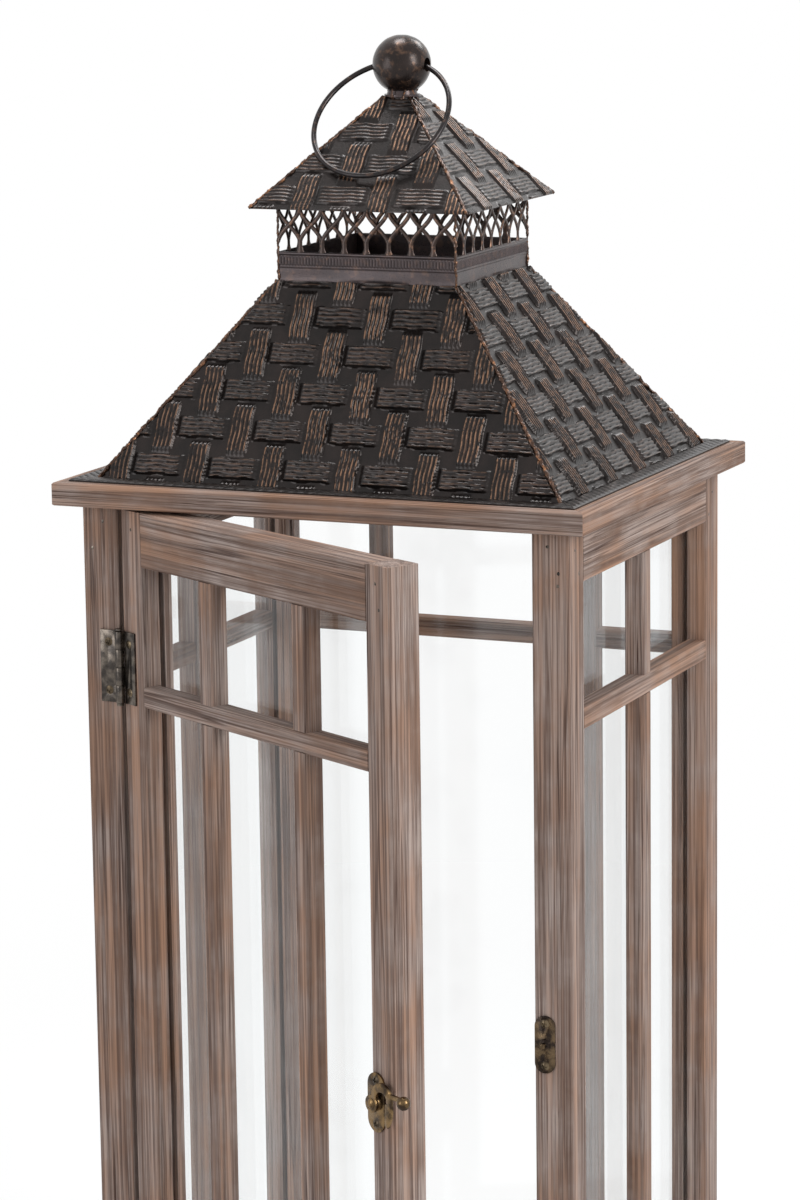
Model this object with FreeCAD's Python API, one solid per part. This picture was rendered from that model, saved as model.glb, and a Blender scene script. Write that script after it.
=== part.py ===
import FreeCAD, Part
import math
import os

os.makedirs("parts", exist_ok=True)
V = FreeCAD.Vector

# ---------------------------------------------------------------------------
# Driving dimensions, in millimetres and degrees.
# +Z is up and the floor is z = 0. The door is in the front, which faces -Y.
# ---------------------------------------------------------------------------

# Timber body
BODY_W = 304.0              # over the posts, left to right
BODY_D = 254.0              # over the posts, front to back
POST = 22.5                 # square section of each post
POST_LEN = 600.0            # between the base boards and the cornice boards
OVERHANG = 13.0             # of the base and the cornice past the posts, all round
BOARD_W = 46.0              # width of each mitred board
CORNICE_T = 13.5
BASE_T = 16.0
EDGE_BREAK = 0.8            # small chamfer on the sawn edges
FLOOR_T = 6.0               # panel let into the underside of the base boards
FLOOR_LAP = 8.0             # how far it sits on their rebate
FLOOR_CLEAR = 0.2

# Rails and glazing bars of the fixed panels
RAIL_H = 32.0
BAR_W = 12.0                # face width of a glazing bar
BAR_DROP = 105.0            # from the cornice down to the top of the cross bar
BACK_BAR_SPREAD = 141.0     # between the two uprights of the back, centre to centre
GLASS_SETBACK = 12.0        # from the outer face to the groove
GLASS_T = 3.0
GLASS_CLEAR = 0.2           # each side of the pane in its groove
GROOVE = 6.0                # depth of the groove
PANE_EDGE_CLEAR = 0.6       # pane edge to groove bottom, at the sides and the top

# Door
DOOR_T = 21.5
DOOR_GAP = 1.5              # beside the posts
DOOR_END_GAP = 2.0          # above the base and under the cornice
STILE_W = 20.0
DOOR_RAIL_H = 32.0
DOOR_BAR_SPREAD = 90.0      # between its two uprights, centre to centre
DOOR_OPEN = 29.3            # how far the door stands open at rest

# Butt hinges
HINGE_L = 43.0
HINGE_END = 93.5            # hinge centre to the end of the door
LEAF_W = 13.2               # from the knuckle's centre
LEAF_T = 1.2
KNUCKLE_R = 2.6
KNUCKLE_OFF = 2.8           # knuckle centre in front of the timber
KNUCKLES = 4
KNUCKLE_GAP = 0.3
PIN_R = 1.25
PIN_FIT = 0.05              # running clearance on the pin
PIN_HEAD_R = 2.2
PIN_HEAD_T = 1.2
SCREW_PITCH = 28.8          # along a hinge leaf
SCREW_INSET = 7.8           # knuckle centre to the screws

# Screws
SCREW_HEAD_R = 2.6
SCREW_HEAD_T = 0.8
SCREW_R = 1.3
SCREW_L = 9.0
SCREW_CLEAR = 0.1

# Swing latch on the door and its strike on the post
RIVET_Z = 313.8
RIVET_INSET = 15.4          # rivet to the door's edge
STUD_INSET = 6.4            # stud to the post's edge
STUD_RISE = 5.0             # stud above the rivet
LATCH_PLATE_W = 15.0
STRIKE_W = 12.5
PLATE_L = 34.0
PLATE_T = 1.2
PLATE_SCREWS = 25.0         # between the two screws of a plate
BOSS_R = 4.6
BOSS_T = 1.8                # stands on the plate
HOOK_T = 1.7
HOOK_PLAY = 0.1             # behind and before the hook at the rivet
RIVET_R = 1.6
RIVET_FIT = 0.05
RIVET_HEAD_R = 3.2
RIVET_HEAD_T = 1.4
EYE_R = 5.0
ARCH_R = 8.9                # outer radius of the hook's arch
ARCH_RISE = 4.7             # its centre above the rivet
MOUTH_R = 5.2               # inner radius of the arch
MOUTH_DROP = 1.3            # its centre below the arch's centre
CLAW_W = 5.0
CLAW_SWEEP = 36.0           # degrees that the claw reaches below the rivet
CLAW_CLEAR = 1.7            # claw's tip circle to the stud's head
SHOULDER_H = 2.4
HOOK_REST = 0.3             # shoulder above the stud's neck when shut
KNOB_R = 3.85
KNOB_GAP = 0.6              # knob to the stud's head
KNOB_STAND = 2.4            # knob's back to the timber
STUD_BOSS_R = 3.4
STUD_BOSS_T = 1.0
STUD_NECK_R = 1.6
STUD_HEAD_R = 3.9
STUD_HEAD_T = 2.6
STUD_GRIP = 3.1             # neck length between boss and head

# Embossed metal roof
SHEET = 0.9
FLANGE_W = 13.0
FLANGE_REVEAL = 7.5         # timber left showing outside the flange
ROOF_RISE = 112.5
CROWN_HALF = 56.0           # vent band, centre to outer face
ROOF_LIP = 0.4              # roof's top edge outside the band
WEAVE_PITCH = 24.0
STRAND_W = 13.0
STRAND_H = 1.3
STRAND_GAP = 0.7
STRAND_RAMP = 4.0
WEAVE_START = 11.0          # eave to the middle of the first row
HIP_MARGIN = 1.5            # plain strip beside a hip

# Vent band
PLAIN_H = 17.0              # plain strip below the bead
BEAD_H = 1.8
BEAD_OUT = 0.7
ARCHES = 8                  # along each side
LEG_W = 4.4
STRAP_W = 2.4
FORK_H = 6.8
CROSS_H = 15.0
MEET_H = 24.6               # where the straps meet again

# Cap, ball and ring
EAVE_HALF = 68.6
EAVE_LIFT = 25.6            # bead to the eave
CAP_TOP_HALF = 8.0
CAP_RISE = 61.5
BAND_CLEAR = 0.15
SEAT_R = 10.5
SEAT_T = 1.4
CUP_R = 8.4
CUP_H = 3.6
BALL_R = 17.2
BALL_CLEAR = 0.05
BALL_LIFT = 1.5             # ball's foot above the cap's top
RING_R = 42.0
RING_TURN = -4.0            # of the ball's hole from left-to-right, seen from above
WIRE_R = 1.6
RING_PLAY = 0.65            # wire in the ball's hole
RING_REST = 0.3             # wire above the weave where it leans

# ---------------------------------------------------------------------------
# Sizes that follow from them
# ---------------------------------------------------------------------------
BX = BODY_W / 2
BY = BODY_D / 2
TOP_X = BX + OVERHANG
TOP_Y = BY + OVERHANG
Z_POST = BASE_T
Z_CORNICE = Z_POST + POST_LEN
Z_ROOF = Z_CORNICE + CORNICE_T
Z_BAR = Z_CORNICE - BAR_DROP - BAR_W
GROOVE_W = GLASS_T + 2 * GLASS_CLEAR
PANE_IN = GROOVE - PANE_EDGE_CLEAR

FOOT_X = TOP_X - FLANGE_REVEAL - FLANGE_W
FOOT_Y = TOP_Y - FLANGE_REVEAL - FLANGE_W
ROOF_TOP = CROWN_HALF + ROOF_LIP
Z_BAND = Z_ROOF + ROOF_RISE
Z_BEAD = Z_BAND + PLAIN_H
Z_EAVE = Z_BEAD + EAVE_LIFT
CAP_RUN = EAVE_HALF - CAP_TOP_HALF
CAP_SLOPE = math.atan2(CAP_RISE, CAP_RUN)
Z_CAP_TOP = Z_EAVE + CAP_RISE
CAP_DROP = SHEET / math.cos(CAP_SLOPE)
Z_BAND_TOP = Z_EAVE + (EAVE_HALF - CROWN_HALF) * math.tan(CAP_SLOPE) - CAP_DROP - BAND_CLEAR
Z_BALL = Z_CAP_TOP + BALL_LIFT + BALL_R

PIVOT_X = -BX + POST + DOOR_GAP / 2
PIVOT_Y = -BY - KNUCKLE_OFF
DOOR_X0 = -BX + POST + DOOR_GAP
DOOR_X1 = BX - POST - DOOR_GAP
DOOR_Z0 = Z_POST + DOOR_END_GAP
DOOR_Z1 = Z_CORNICE - DOOR_END_GAP
HINGE_Z = (DOOR_Z0 + HINGE_END, DOOR_Z1 - HINGE_END)
RIVET_X = DOOR_X1 - RIVET_INSET
STUD_X = BX - POST + STUD_INSET
STUD_Z = RIVET_Z + STUD_RISE
HOOK_BACK = PLATE_T + BOSS_T + HOOK_PLAY
STUD_HEAD_BACK = PLATE_T + STUD_BOSS_T + STUD_GRIP


# ---------------------------------------------------------------------------
# Small helpers
# ---------------------------------------------------------------------------
def box(x0, x1, y0, y1, z0, z1):
    return Part.makeBox(x1 - x0, y1 - y0, z1 - z0, V(x0, y0, z0))


def prism(points, z0, z1):
    """A plan outline raised from z0 to z1."""
    corners = [V(x, y, z0) for x, y in points]
    face = Part.Face(Part.makePolygon(corners + corners[:1]))
    return face.extrude(V(0, 0, z1 - z0))


def front_plate(points, back, front):
    """An outline in X and Z, raised from `back` to `front` ahead of the timber face."""
    corners = [V(x, -BY - back, z) for x, z in points]
    face = Part.Face(Part.makePolygon(corners + corners[:1]))
    return face.extrude(V(0, back - front, 0))


def front_rod(x, z, r, back, front):
    """A round rod that stands on the timber face."""
    return Part.makeCylinder(r, front - back, V(x, -BY - back, z), V(0, -1, 0))


def front_dome(x, z, r, back, height):
    """A round head, flat at the back and crowned at the front."""
    sphere_r = (r * r + height * height) / (2 * height)
    centre = V(x, -BY - back - height + sphere_r, z)
    ball = Part.makeSphere(sphere_r, centre)
    return ball.common(front_rod(x, z, r, back, back + height))


def stadium(x, z, width, length, back, front):
    """A plate with two round ends, upright on the timber face."""
    r = width / 2
    half = length / 2 - r
    y = -BY - back
    left = Part.makeLine(V(x - r, y, z - half), V(x - r, y, z + half))
    top = Part.Arc(V(x - r, y, z + half), V(x, y, z + half + r), V(x + r, y, z + half)).toShape()
    right = Part.makeLine(V(x + r, y, z + half), V(x + r, y, z - half))
    foot = Part.Arc(V(x + r, y, z - half), V(x, y, z - half - r), V(x - r, y, z - half)).toShape()
    return Part.Face(Part.Wire([left, top, right, foot])).extrude(V(0, back - front, 0))


def break_edges(solid, direction):
    """Chamfers the long edges that run along one axis."""
    edges = []
    for edge in solid.Edges:
        run = edge.Vertexes[-1].Point - edge.Vertexes[0].Point
        if run.Length > 0 and abs(run.normalize().dot(direction)) > 0.999:
            edges.append(edge)
    return solid.makeChamfer(EDGE_BREAK, edges)


def turn_door(shape):
    """Swings a closed door piece to where the door stands at rest."""
    turned = shape.copy()
    turned.rotate(V(PIVOT_X, PIVOT_Y, 0), V(0, 0, 1), -DOOR_OPEN)
    return turned


def save(name, *shapes):
    shape = shapes[0] if len(shapes) == 1 else Part.makeCompound(list(shapes))
    shape.exportStep("parts/" + name + ".step")
    solids = shape.Solids
    print("%-24s %2d solid(s) %10.1f mm3" % (name, len(solids), sum(s.Volume for s in solids)))


# ---------------------------------------------------------------------------
# Base and cornice: four mitred boards each
# ---------------------------------------------------------------------------
def mitred_boards(z0, z1):
    ix = TOP_X - BOARD_W
    iy = TOP_Y - BOARD_W
    plans = {
        "front": [(-TOP_X, -TOP_Y), (TOP_X, -TOP_Y), (ix, -iy), (-ix, -iy)],
        "back": [(-TOP_X, TOP_Y), (-ix, iy), (ix, iy), (TOP_X, TOP_Y)],
        "left": [(-TOP_X, -TOP_Y), (-ix, -iy), (-ix, iy), (-TOP_X, TOP_Y)],
        "right": [(TOP_X, -TOP_Y), (TOP_X, TOP_Y), (ix, iy), (ix, -iy)],
    }
    boards = {}
    for side, plan in plans.items():
        board = prism(plan, z0, z1)
        outer = []
        for edge in board.Edges:
            mid = edge.CenterOfMass
            on_rim = abs(abs(mid.x) - TOP_X) < 0.01 or abs(abs(mid.y) - TOP_Y) < 0.01
            level = abs(edge.Vertexes[0].Z - edge.Vertexes[-1].Z) < 0.01
            if on_rim and level:
                outer.append(edge)
        boards[side] = board.makeChamfer(EDGE_BREAK, outer)
    return boards


for side, board in mitred_boards(Z_CORNICE, Z_ROOF).items():
    save("cornice_" + side, board)

floor_x = TOP_X - BOARD_W + FLOOR_LAP
floor_y = TOP_Y - BOARD_W + FLOOR_LAP
rebate = box(-floor_x, floor_x, -floor_y, floor_y, 0, FLOOR_T)
for side, board in mitred_boards(0, BASE_T).items():
    save("base_" + side, board.cut(rebate))
save("floor_panel", box(-floor_x + FLOOR_CLEAR, floor_x - FLOOR_CLEAR,
                        -floor_y + FLOOR_CLEAR, floor_y - FLOOR_CLEAR,
                        0, FLOOR_T))

# ---------------------------------------------------------------------------
# Posts, with grooves for the panes and pilot holes for the screws
# ---------------------------------------------------------------------------
SIDE_GROOVE = (BX - GLASS_SETBACK - GROOVE_W, BX - GLASS_SETBACK)
BACK_GROOVE = (BY - GLASS_SETBACK - GROOVE_W, BY - GLASS_SETBACK)


def both_sides(pair, sign):
    return sorted((sign * pair[0], sign * pair[1]))


def pilot(x, z):
    return front_rod(x, z, SCREW_R + SCREW_CLEAR, -SCREW_L - SCREW_CLEAR, PLATE_T)


def hinge_screw_places(x):
    return [(x, z + dz) for z in HINGE_Z for dz in (-SCREW_PITCH / 2, SCREW_PITCH / 2)]


def plate_screw_places(x, z):
    return [(x, z - PLATE_SCREWS / 2), (x, z + PLATE_SCREWS / 2)]


POST_SCREWS = hinge_screw_places(PIVOT_X - SCREW_INSET)
DOOR_SCREWS = hinge_screw_places(PIVOT_X + SCREW_INSET)
STRIKE_SCREWS = plate_screw_places(STUD_X, STUD_Z)
LATCH_SCREWS = plate_screw_places(RIVET_X, RIVET_Z)


def post(sx, sy):
    x0, x1 = sorted((sx * BX, sx * (BX - POST)))
    y0, y1 = sorted((sy * BY, sy * (BY - POST)))
    solid = break_edges(box(x0, x1, y0, y1, Z_POST, Z_CORNICE), V(0, 0, 1))
    g0, g1 = both_sides(SIDE_GROOVE, sx)
    inner_y = sy * (BY - POST)
    c0, c1 = sorted((inner_y, inner_y + sy * GROOVE))
    solid = solid.cut(box(g0, g1, c0, c1, Z_POST, Z_CORNICE))
    if sy > 0:
        inner_x = sx * (BX - POST)
        b0, b1 = sorted((inner_x, inner_x + sx * GROOVE))
        solid = solid.cut(box(b0, b1, BACK_GROOVE[0], BACK_GROOVE[1], Z_POST, Z_CORNICE))
    return solid


front_left = post(-1, -1)
for x, z in POST_SCREWS:
    front_left = front_left.cut(pilot(x, z))
front_right = post(1, -1)
for x, z in STRIKE_SCREWS:
    front_right = front_right.cut(pilot(x, z))
save("post_front_left", front_left)
save("post_front_right", front_right)
save("post_back_left", post(-1, 1))
save("post_back_right", post(1, 1))


# ---------------------------------------------------------------------------
# Framed panels. Each is drawn flat, with u along the panel, n into the
# lantern from the outer face and z up, and is then set in its place.
# ---------------------------------------------------------------------------
def grid_panel(half, z0, z1, rail_h, depth, uprights, bar_z):
    """Rails, glazing bars and pane between two uprights of a frame."""
    mid0 = z0 + rail_h
    mid1 = z1 - rail_h
    groove = (GLASS_SETBACK, GLASS_SETBACK + GROOVE_W)
    lower = break_edges(box(-half, half, 0, depth, z0, mid0), V(1, 0, 0))
    lower = lower.cut(box(-half, half, groove[0], groove[1], mid0 - GROOVE, mid0))
    upper = break_edges(box(-half, half, 0, depth, mid1, z1), V(1, 0, 0))
    upper = upper.cut(box(-half, half, groove[0], groove[1], mid1, mid1 + GROOVE))
    bar = break_edges(box(-half, half, 0, GLASS_SETBACK, bar_z, bar_z + BAR_W), V(1, 0, 0))
    posts = []
    for u in uprights:
        u0 = u - BAR_W / 2
        u1 = u + BAR_W / 2
        bar = bar.cut(box(u0, u1, GLASS_SETBACK / 2, GLASS_SETBACK, bar_z, bar_z + BAR_W))
        stick = break_edges(box(u0, u1, 0, GLASS_SETBACK, mid0, mid1), V(0, 0, 1))
        posts.append(stick.cut(box(u0, u1, 0, GLASS_SETBACK / 2, bar_z, bar_z + BAR_W)))
    pane = box(-half - PANE_IN, half + PANE_IN,
               groove[0] + GLASS_CLEAR, groove[1] - GLASS_CLEAR,
               mid0 - GROOVE + GLASS_CLEAR, mid1 + PANE_IN)
    return {"lower": lower, "upper": upper, "bar": bar, "posts": posts, "pane": pane}


def place(shape, angle, x, y):
    moved = shape.copy()
    moved.rotate(V(0, 0, 0), V(0, 0, 1), angle)
    moved.translate(V(x, y, 0))
    return moved


def save_panel(name, panel, angle, x, y, uprights):
    save(name + "_rail_bottom", place(panel["lower"], angle, x, y))
    save(name + "_rail_top", place(panel["upper"], angle, x, y))
    save(name + "_bar", place(panel["bar"], angle, x, y))
    for upright, shape in zip(uprights, panel["posts"]):
        save(upright, place(shape, angle, x, y))
    save(name + "_glass", place(panel["pane"], angle, x, y))


side_panel = grid_panel(BY - POST, Z_POST, Z_CORNICE, RAIL_H, POST, [0.0], Z_BAR)
back_panel = grid_panel(BX - POST, Z_POST, Z_CORNICE, RAIL_H, POST,
                        [-BACK_BAR_SPREAD / 2, BACK_BAR_SPREAD / 2], Z_BAR)
save_panel("left", side_panel, -90, -BX, 0, ["left_upright"])
save_panel("right", side_panel, 90, BX, 0, ["right_upright"])
save_panel("back", back_panel, 180, 0, BY, ["back_upright_right", "back_upright_left"])

# ---------------------------------------------------------------------------
# Door, drawn closed and then swung open
# ---------------------------------------------------------------------------
door_mid = (DOOR_X0 + DOOR_X1) / 2
door_half = (DOOR_X1 - DOOR_X0) / 2 - STILE_W
door_panel = grid_panel(door_half, DOOR_Z0, DOOR_Z1, DOOR_RAIL_H, DOOR_T,
                        [-DOOR_BAR_SPREAD / 2, DOOR_BAR_SPREAD / 2], Z_BAR)


def stile(x0, x1, groove_x, screws):
    solid = break_edges(box(x0, x1, -BY, -BY + DOOR_T, DOOR_Z0, DOOR_Z1), V(0, 0, 1))
    y0 = -BY + GLASS_SETBACK
    g0, g1 = sorted(groove_x)
    solid = solid.cut(box(g0, g1, y0, y0 + GROOVE_W,
                          DOOR_Z0 + DOOR_RAIL_H - GROOVE, DOOR_Z1 - DOOR_RAIL_H + GROOVE))
    for x, z in screws:
        solid = solid.cut(pilot(x, z))
    return solid


hinge_stile = stile(DOOR_X0, DOOR_X0 + STILE_W,
                    (DOOR_X0 + STILE_W - GROOVE, DOOR_X0 + STILE_W), DOOR_SCREWS)
latch_stile = stile(DOOR_X1 - STILE_W, DOOR_X1,
                    (DOOR_X1 - STILE_W, DOOR_X1 - STILE_W + GROOVE), LATCH_SCREWS)
save("door_stile_hinge", turn_door(hinge_stile))
save("door_stile_latch", turn_door(latch_stile))
for key, name in (("lower", "door_rail_bottom"), ("upper", "door_rail_top"),
                  ("bar", "door_bar"), ("pane", "door_glass")):
    save(name, turn_door(place(door_panel[key], 0, door_mid, -BY)))
for name, shape in zip(("door_upright_left", "door_upright_right"), door_panel["posts"]):
    save(name, turn_door(place(shape, 0, door_mid, -BY)))


# ---------------------------------------------------------------------------
# Hinges: two leaves whose knuckles take turns on one pin
# ---------------------------------------------------------------------------
def hinge_leaf(side, z, first):
    """side is -1 for the post's leaf and 1 for the door's."""
    z0 = z - HINGE_L / 2
    step = HINGE_L / KNUCKLES
    edge = PIVOT_X + side * LEAF_W
    root = PIVOT_X + side * (KNUCKLE_R + KNUCKLE_GAP)
    x0, x1 = sorted((edge, root))
    leaf = box(x0, x1, -BY - LEAF_T, -BY, z0, z0 + HINGE_L)
    for i in range(KNUCKLES):
        if i % 2 != first:
            continue
        k0 = z0 + i * step + KNUCKLE_GAP / 2
        k1 = z0 + (i + 1) * step - KNUCKLE_GAP / 2
        a, b = sorted((PIVOT_X, root))
        leaf = leaf.fuse(box(a, b, -BY - LEAF_T, -BY, k0, k1))
        leaf = leaf.fuse(Part.makeCylinder(KNUCKLE_R, k1 - k0, V(PIVOT_X, PIVOT_Y, k0)))
    bore = Part.makeCylinder(PIN_R + PIN_FIT, HINGE_L, V(PIVOT_X, PIVOT_Y, z0))
    leaf = leaf.cut(bore)
    for dz in (-SCREW_PITCH / 2, SCREW_PITCH / 2):
        hole = front_rod(PIVOT_X + side * SCREW_INSET, z + dz, SCREW_R + SCREW_CLEAR, 0, LEAF_T)
        leaf = leaf.cut(hole)
    return leaf.removeSplitter()


def hinge_pin(z):
    z0 = z - HINGE_L / 2
    pin = Part.makeCylinder(PIN_R, HINGE_L + 2 * KNUCKLE_GAP, V(PIVOT_X, PIVOT_Y, z0 - KNUCKLE_GAP))
    foot = Part.makeCylinder(PIN_HEAD_R, PIN_HEAD_T, V(PIVOT_X, PIVOT_Y, z0 - KNUCKLE_GAP - PIN_HEAD_T))
    head = Part.makeCylinder(PIN_HEAD_R, PIN_HEAD_T, V(PIVOT_X, PIVOT_Y, z0 + HINGE_L + KNUCKLE_GAP))
    return pin.fuse(foot).fuse(head).removeSplitter()


def screw(x, z, under_head):
    shank = front_rod(x, z, SCREW_R, -SCREW_L, under_head)
    return shank.fuse(front_dome(x, z, SCREW_HEAD_R, under_head, SCREW_HEAD_T)).removeSplitter()


save("hinge_leaves_post", *[hinge_leaf(-1, z, 0) for z in HINGE_Z])
save("hinge_leaves_door", *[turn_door(hinge_leaf(1, z, 1)) for z in HINGE_Z])
save("hinge_pins", *[hinge_pin(z) for z in HINGE_Z])
save("hinge_screws_post", *[screw(x, z, LEAF_T) for x, z in POST_SCREWS])
save("hinge_screws_door", *[turn_door(screw(x, z, LEAF_T)) for x, z in DOOR_SCREWS])


# ---------------------------------------------------------------------------
# Latch: plate and rivet on the door, a hook that swings on the rivet, and
# the stud on the post that it drops behind
# ---------------------------------------------------------------------------
def screwed_plate(x, z, width, screws):
    plate = stadium(x, z, width, PLATE_L, 0, PLATE_T)
    for sx, sz in screws:
        plate = plate.cut(front_rod(sx, sz, SCREW_R + SCREW_CLEAR, 0, PLATE_T))
    return plate


def latch_plate():
    top = HOOK_BACK + HOOK_T + HOOK_PLAY
    plate = screwed_plate(RIVET_X, RIVET_Z, LATCH_PLATE_W, LATCH_SCREWS)
    boss = front_rod(RIVET_X, RIVET_Z, BOSS_R, 0, PLATE_T + BOSS_T)
    shank = front_rod(RIVET_X, RIVET_Z, RIVET_R, 0, top)
    head = front_dome(RIVET_X, RIVET_Z, RIVET_HEAD_R, top, RIVET_HEAD_T)
    return plate.fuse(boss).fuse(shank).fuse(head).removeSplitter()


def strike_plate():
    plate = screwed_plate(STUD_X, STUD_Z, STRIKE_W, STRIKE_SCREWS)
    boss = front_rod(STUD_X, STUD_Z, STUD_BOSS_R, 0, PLATE_T + STUD_BOSS_T)
    neck = front_rod(STUD_X, STUD_Z, STUD_NECK_R, 0, STUD_HEAD_BACK)
    head = front_dome(STUD_X, STUD_Z, STUD_HEAD_R, STUD_HEAD_BACK, STUD_HEAD_T)
    return plate.fuse(boss).fuse(neck).fuse(head).removeSplitter()


def claw(outer_r, inner_r, back, front):
    """A tapered leg that curves about the rivet and down to a narrow tip."""
    def at(r, degrees):
        turn = math.radians(degrees)
        return V(RIVET_X + r * math.cos(turn), -BY - back, RIVET_Z + r * math.sin(turn))

    tip_r = (outer_r + inner_r) / 2
    outside = Part.Arc(at(outer_r, 12), at(outer_r, -12), at(outer_r, -CLAW_SWEEP)).toShape()
    tip = Part.makeLine(at(outer_r, -CLAW_SWEEP), at(tip_r, -CLAW_SWEEP - 2))
    inside = Part.Arc(at(tip_r, -CLAW_SWEEP - 2), at(inner_r, -CLAW_SWEEP / 2), at(inner_r, 12)).toShape()
    head = Part.makeLine(at(inner_r, 12), at(outer_r, 12))
    return Part.Face(Part.Wire([outside, tip, inside, head])).extrude(V(0, back - front, 0))


def latch_hook():
    """Eye, arch and claw in one flat piece, and a shoulder that carries the knob.

    Shut, the shoulder lies on the stud's neck, behind its head, between claw and knob."""
    back = HOOK_BACK
    front = HOOK_BACK + HOOK_T
    claw_r = math.hypot(STUD_X - RIVET_X, STUD_RISE) - STUD_HEAD_R - CLAW_CLEAR
    arch_x = RIVET_X + claw_r - ARCH_R
    arch_z = RIVET_Z + ARCH_RISE
    foot = RIVET_Z + ARCH_RISE - MOUTH_DROP
    arch = front_rod(arch_x, arch_z, ARCH_R, back, front)
    arch = arch.cut(front_rod(arch_x, foot, MOUTH_R, back, front))
    arch = arch.cut(box(arch_x - ARCH_R, arch_x + ARCH_R, -BY - front, -BY - back,
                        arch_z - ARCH_R, foot - MOUTH_R / 3))
    under = STUD_Z + STUD_NECK_R + HOOK_REST
    knob_x = STUD_X + STUD_HEAD_R + KNOB_GAP + KNOB_R
    knob_y = -BY - KNOB_STAND - KNOB_R
    knob_z = under + SHOULDER_H / 2
    shoulder = box(arch_x + MOUTH_R, knob_x - KNOB_R / 2, -BY - front, -BY - back,
                   under, under + SHOULDER_H)
    knob = Part.makeSphere(KNOB_R, V(knob_x, knob_y, knob_z))
    eye = front_rod(RIVET_X, RIVET_Z, EYE_R, back, front)
    hook = eye.fuse([arch, claw(claw_r, claw_r - CLAW_W, back, front), shoulder, knob])
    return hook.cut(front_rod(RIVET_X, RIVET_Z, RIVET_R + RIVET_FIT, back, front)).removeSplitter()


save("latch_plate", turn_door(latch_plate()))
save("latch_screws", *[turn_door(screw(x, z, PLATE_T)) for x, z in LATCH_SCREWS])
save("latch_hook", turn_door(latch_hook()))
save("strike_plate", strike_plate())
save("strike_screws", *[screw(x, z, PLATE_T) for x, z in STRIKE_SCREWS])


# ---------------------------------------------------------------------------
# Roof. A sloping sheet is drawn flat with the weave raised on it: u along
# the eave, s up the slope and w out of the sheet.
# ---------------------------------------------------------------------------
def frustum(x0, y0, z0, x1, y1, z1):
    foot = Part.makePolygon([V(-x0, -y0, z0), V(x0, -y0, z0), V(x0, y0, z0), V(-x0, y0, z0), V(-x0, -y0, z0)])
    top = Part.makePolygon([V(-x1, -y1, z1), V(x1, -y1, z1), V(x1, y1, z1), V(-x1, y1, z1), V(-x1, -y1, z1)])
    return Part.makeLoft([foot, top], True, True)


def strand(length):
    """One raised strand, lying along u, with a ramp at each end."""
    half = length / 2
    ramp = half - STRAND_RAMP
    side = STRAND_W / 2
    sunk = -SHEET / 3
    corners = [V(-half, -side, sunk), V(-ramp, -side, STRAND_H), V(ramp, -side, STRAND_H), V(half, -side, sunk)]
    face = Part.Face(Part.makePolygon(corners + corners[:1]))
    return face.extrude(V(0, STRAND_W, 0))


def weave(half_foot, slope_len):
    """Strands that pass over each other by turns, one more row and column than needed."""
    length = 2 * WEAVE_PITCH - STRAND_W - STRAND_GAP
    columns = int(half_foot / WEAVE_PITCH) + 2
    rows = int(slope_len / WEAVE_PITCH) + 2
    strands = []
    for i in range(-columns, columns):
        for j in range(-1, rows):
            piece = strand(length)
            if (i + j) % 2 == 0:
                piece.rotate(V(0, 0, 0), V(0, 0, 1), 90)
            piece.translate(V((i + 0.5) * WEAVE_PITCH, WEAVE_START + j * WEAVE_PITCH, 0))
            strands.append(piece)
    return strands


def roof_side(angle, foot, across, top, z0, z1, shell, flange):
    """One sheet of a hipped roof: cut from the shell and embossed.

    foot is the eave's distance from the centre line, across is half the
    eave's length, and top is half the width of the square opening."""
    run = foot - top
    slope = math.atan2(z1 - z0, run)
    slope_len = math.hypot(z1 - z0, run)
    plan = [(-across, -foot), (across, -foot), (top, -top), (-top, -top)]
    if flange:
        rim = flange
        plan = [(-across - rim, -foot - rim), (across + rim, -foot - rim), (across, -foot),
                (top, -top), (-top, -top), (-across, -foot)]
    wedge = prism(plan, z0, z1)
    wedge.rotate(V(0, 0, 0), V(0, 0, 1), angle)
    sheet = shell.common(wedge)

    shrink = HIP_MARGIN
    field = prism([(-across + shrink, -foot), (across - shrink, -foot),
                   (top - shrink, -top - shrink), (-top + shrink, -top - shrink)],
                  z0 + SHEET + STRAND_H, z1 + STRAND_H)
    raised = []
    for piece in weave(across, slope_len):
        piece.rotate(V(0, 0, 0), V(1, 0, 0), math.degrees(slope))
        piece.translate(V(0, -foot, z0))
        kept = piece.common(field)
        for solid in kept.Solids:
            if solid.Volume > 2.0:
                solid.rotate(V(0, 0, 0), V(0, 0, 1), angle)
                raised.append(solid)
    embossed = sheet.fuse(raised)
    print("sheet at %d degrees: %d strands" % (angle, len(raised)))
    return embossed


def inner_offset(slope_run, slope_rise):
    """How far a sheet's inner face lies inside its outer face, level."""
    return SHEET / math.sin(math.atan2(slope_rise, slope_run))


def hipped_shell(x0, y0, z0, x1, y1, z1):
    dx = inner_offset(x0 - x1, z1 - z0)
    dy = inner_offset(y0 - y1, z1 - z0)
    return frustum(x0, y0, z0, x1, y1, z1).cut(frustum(x0 - dx, y0 - dy, z0, x1 - dx, y1 - dy, z1))


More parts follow.
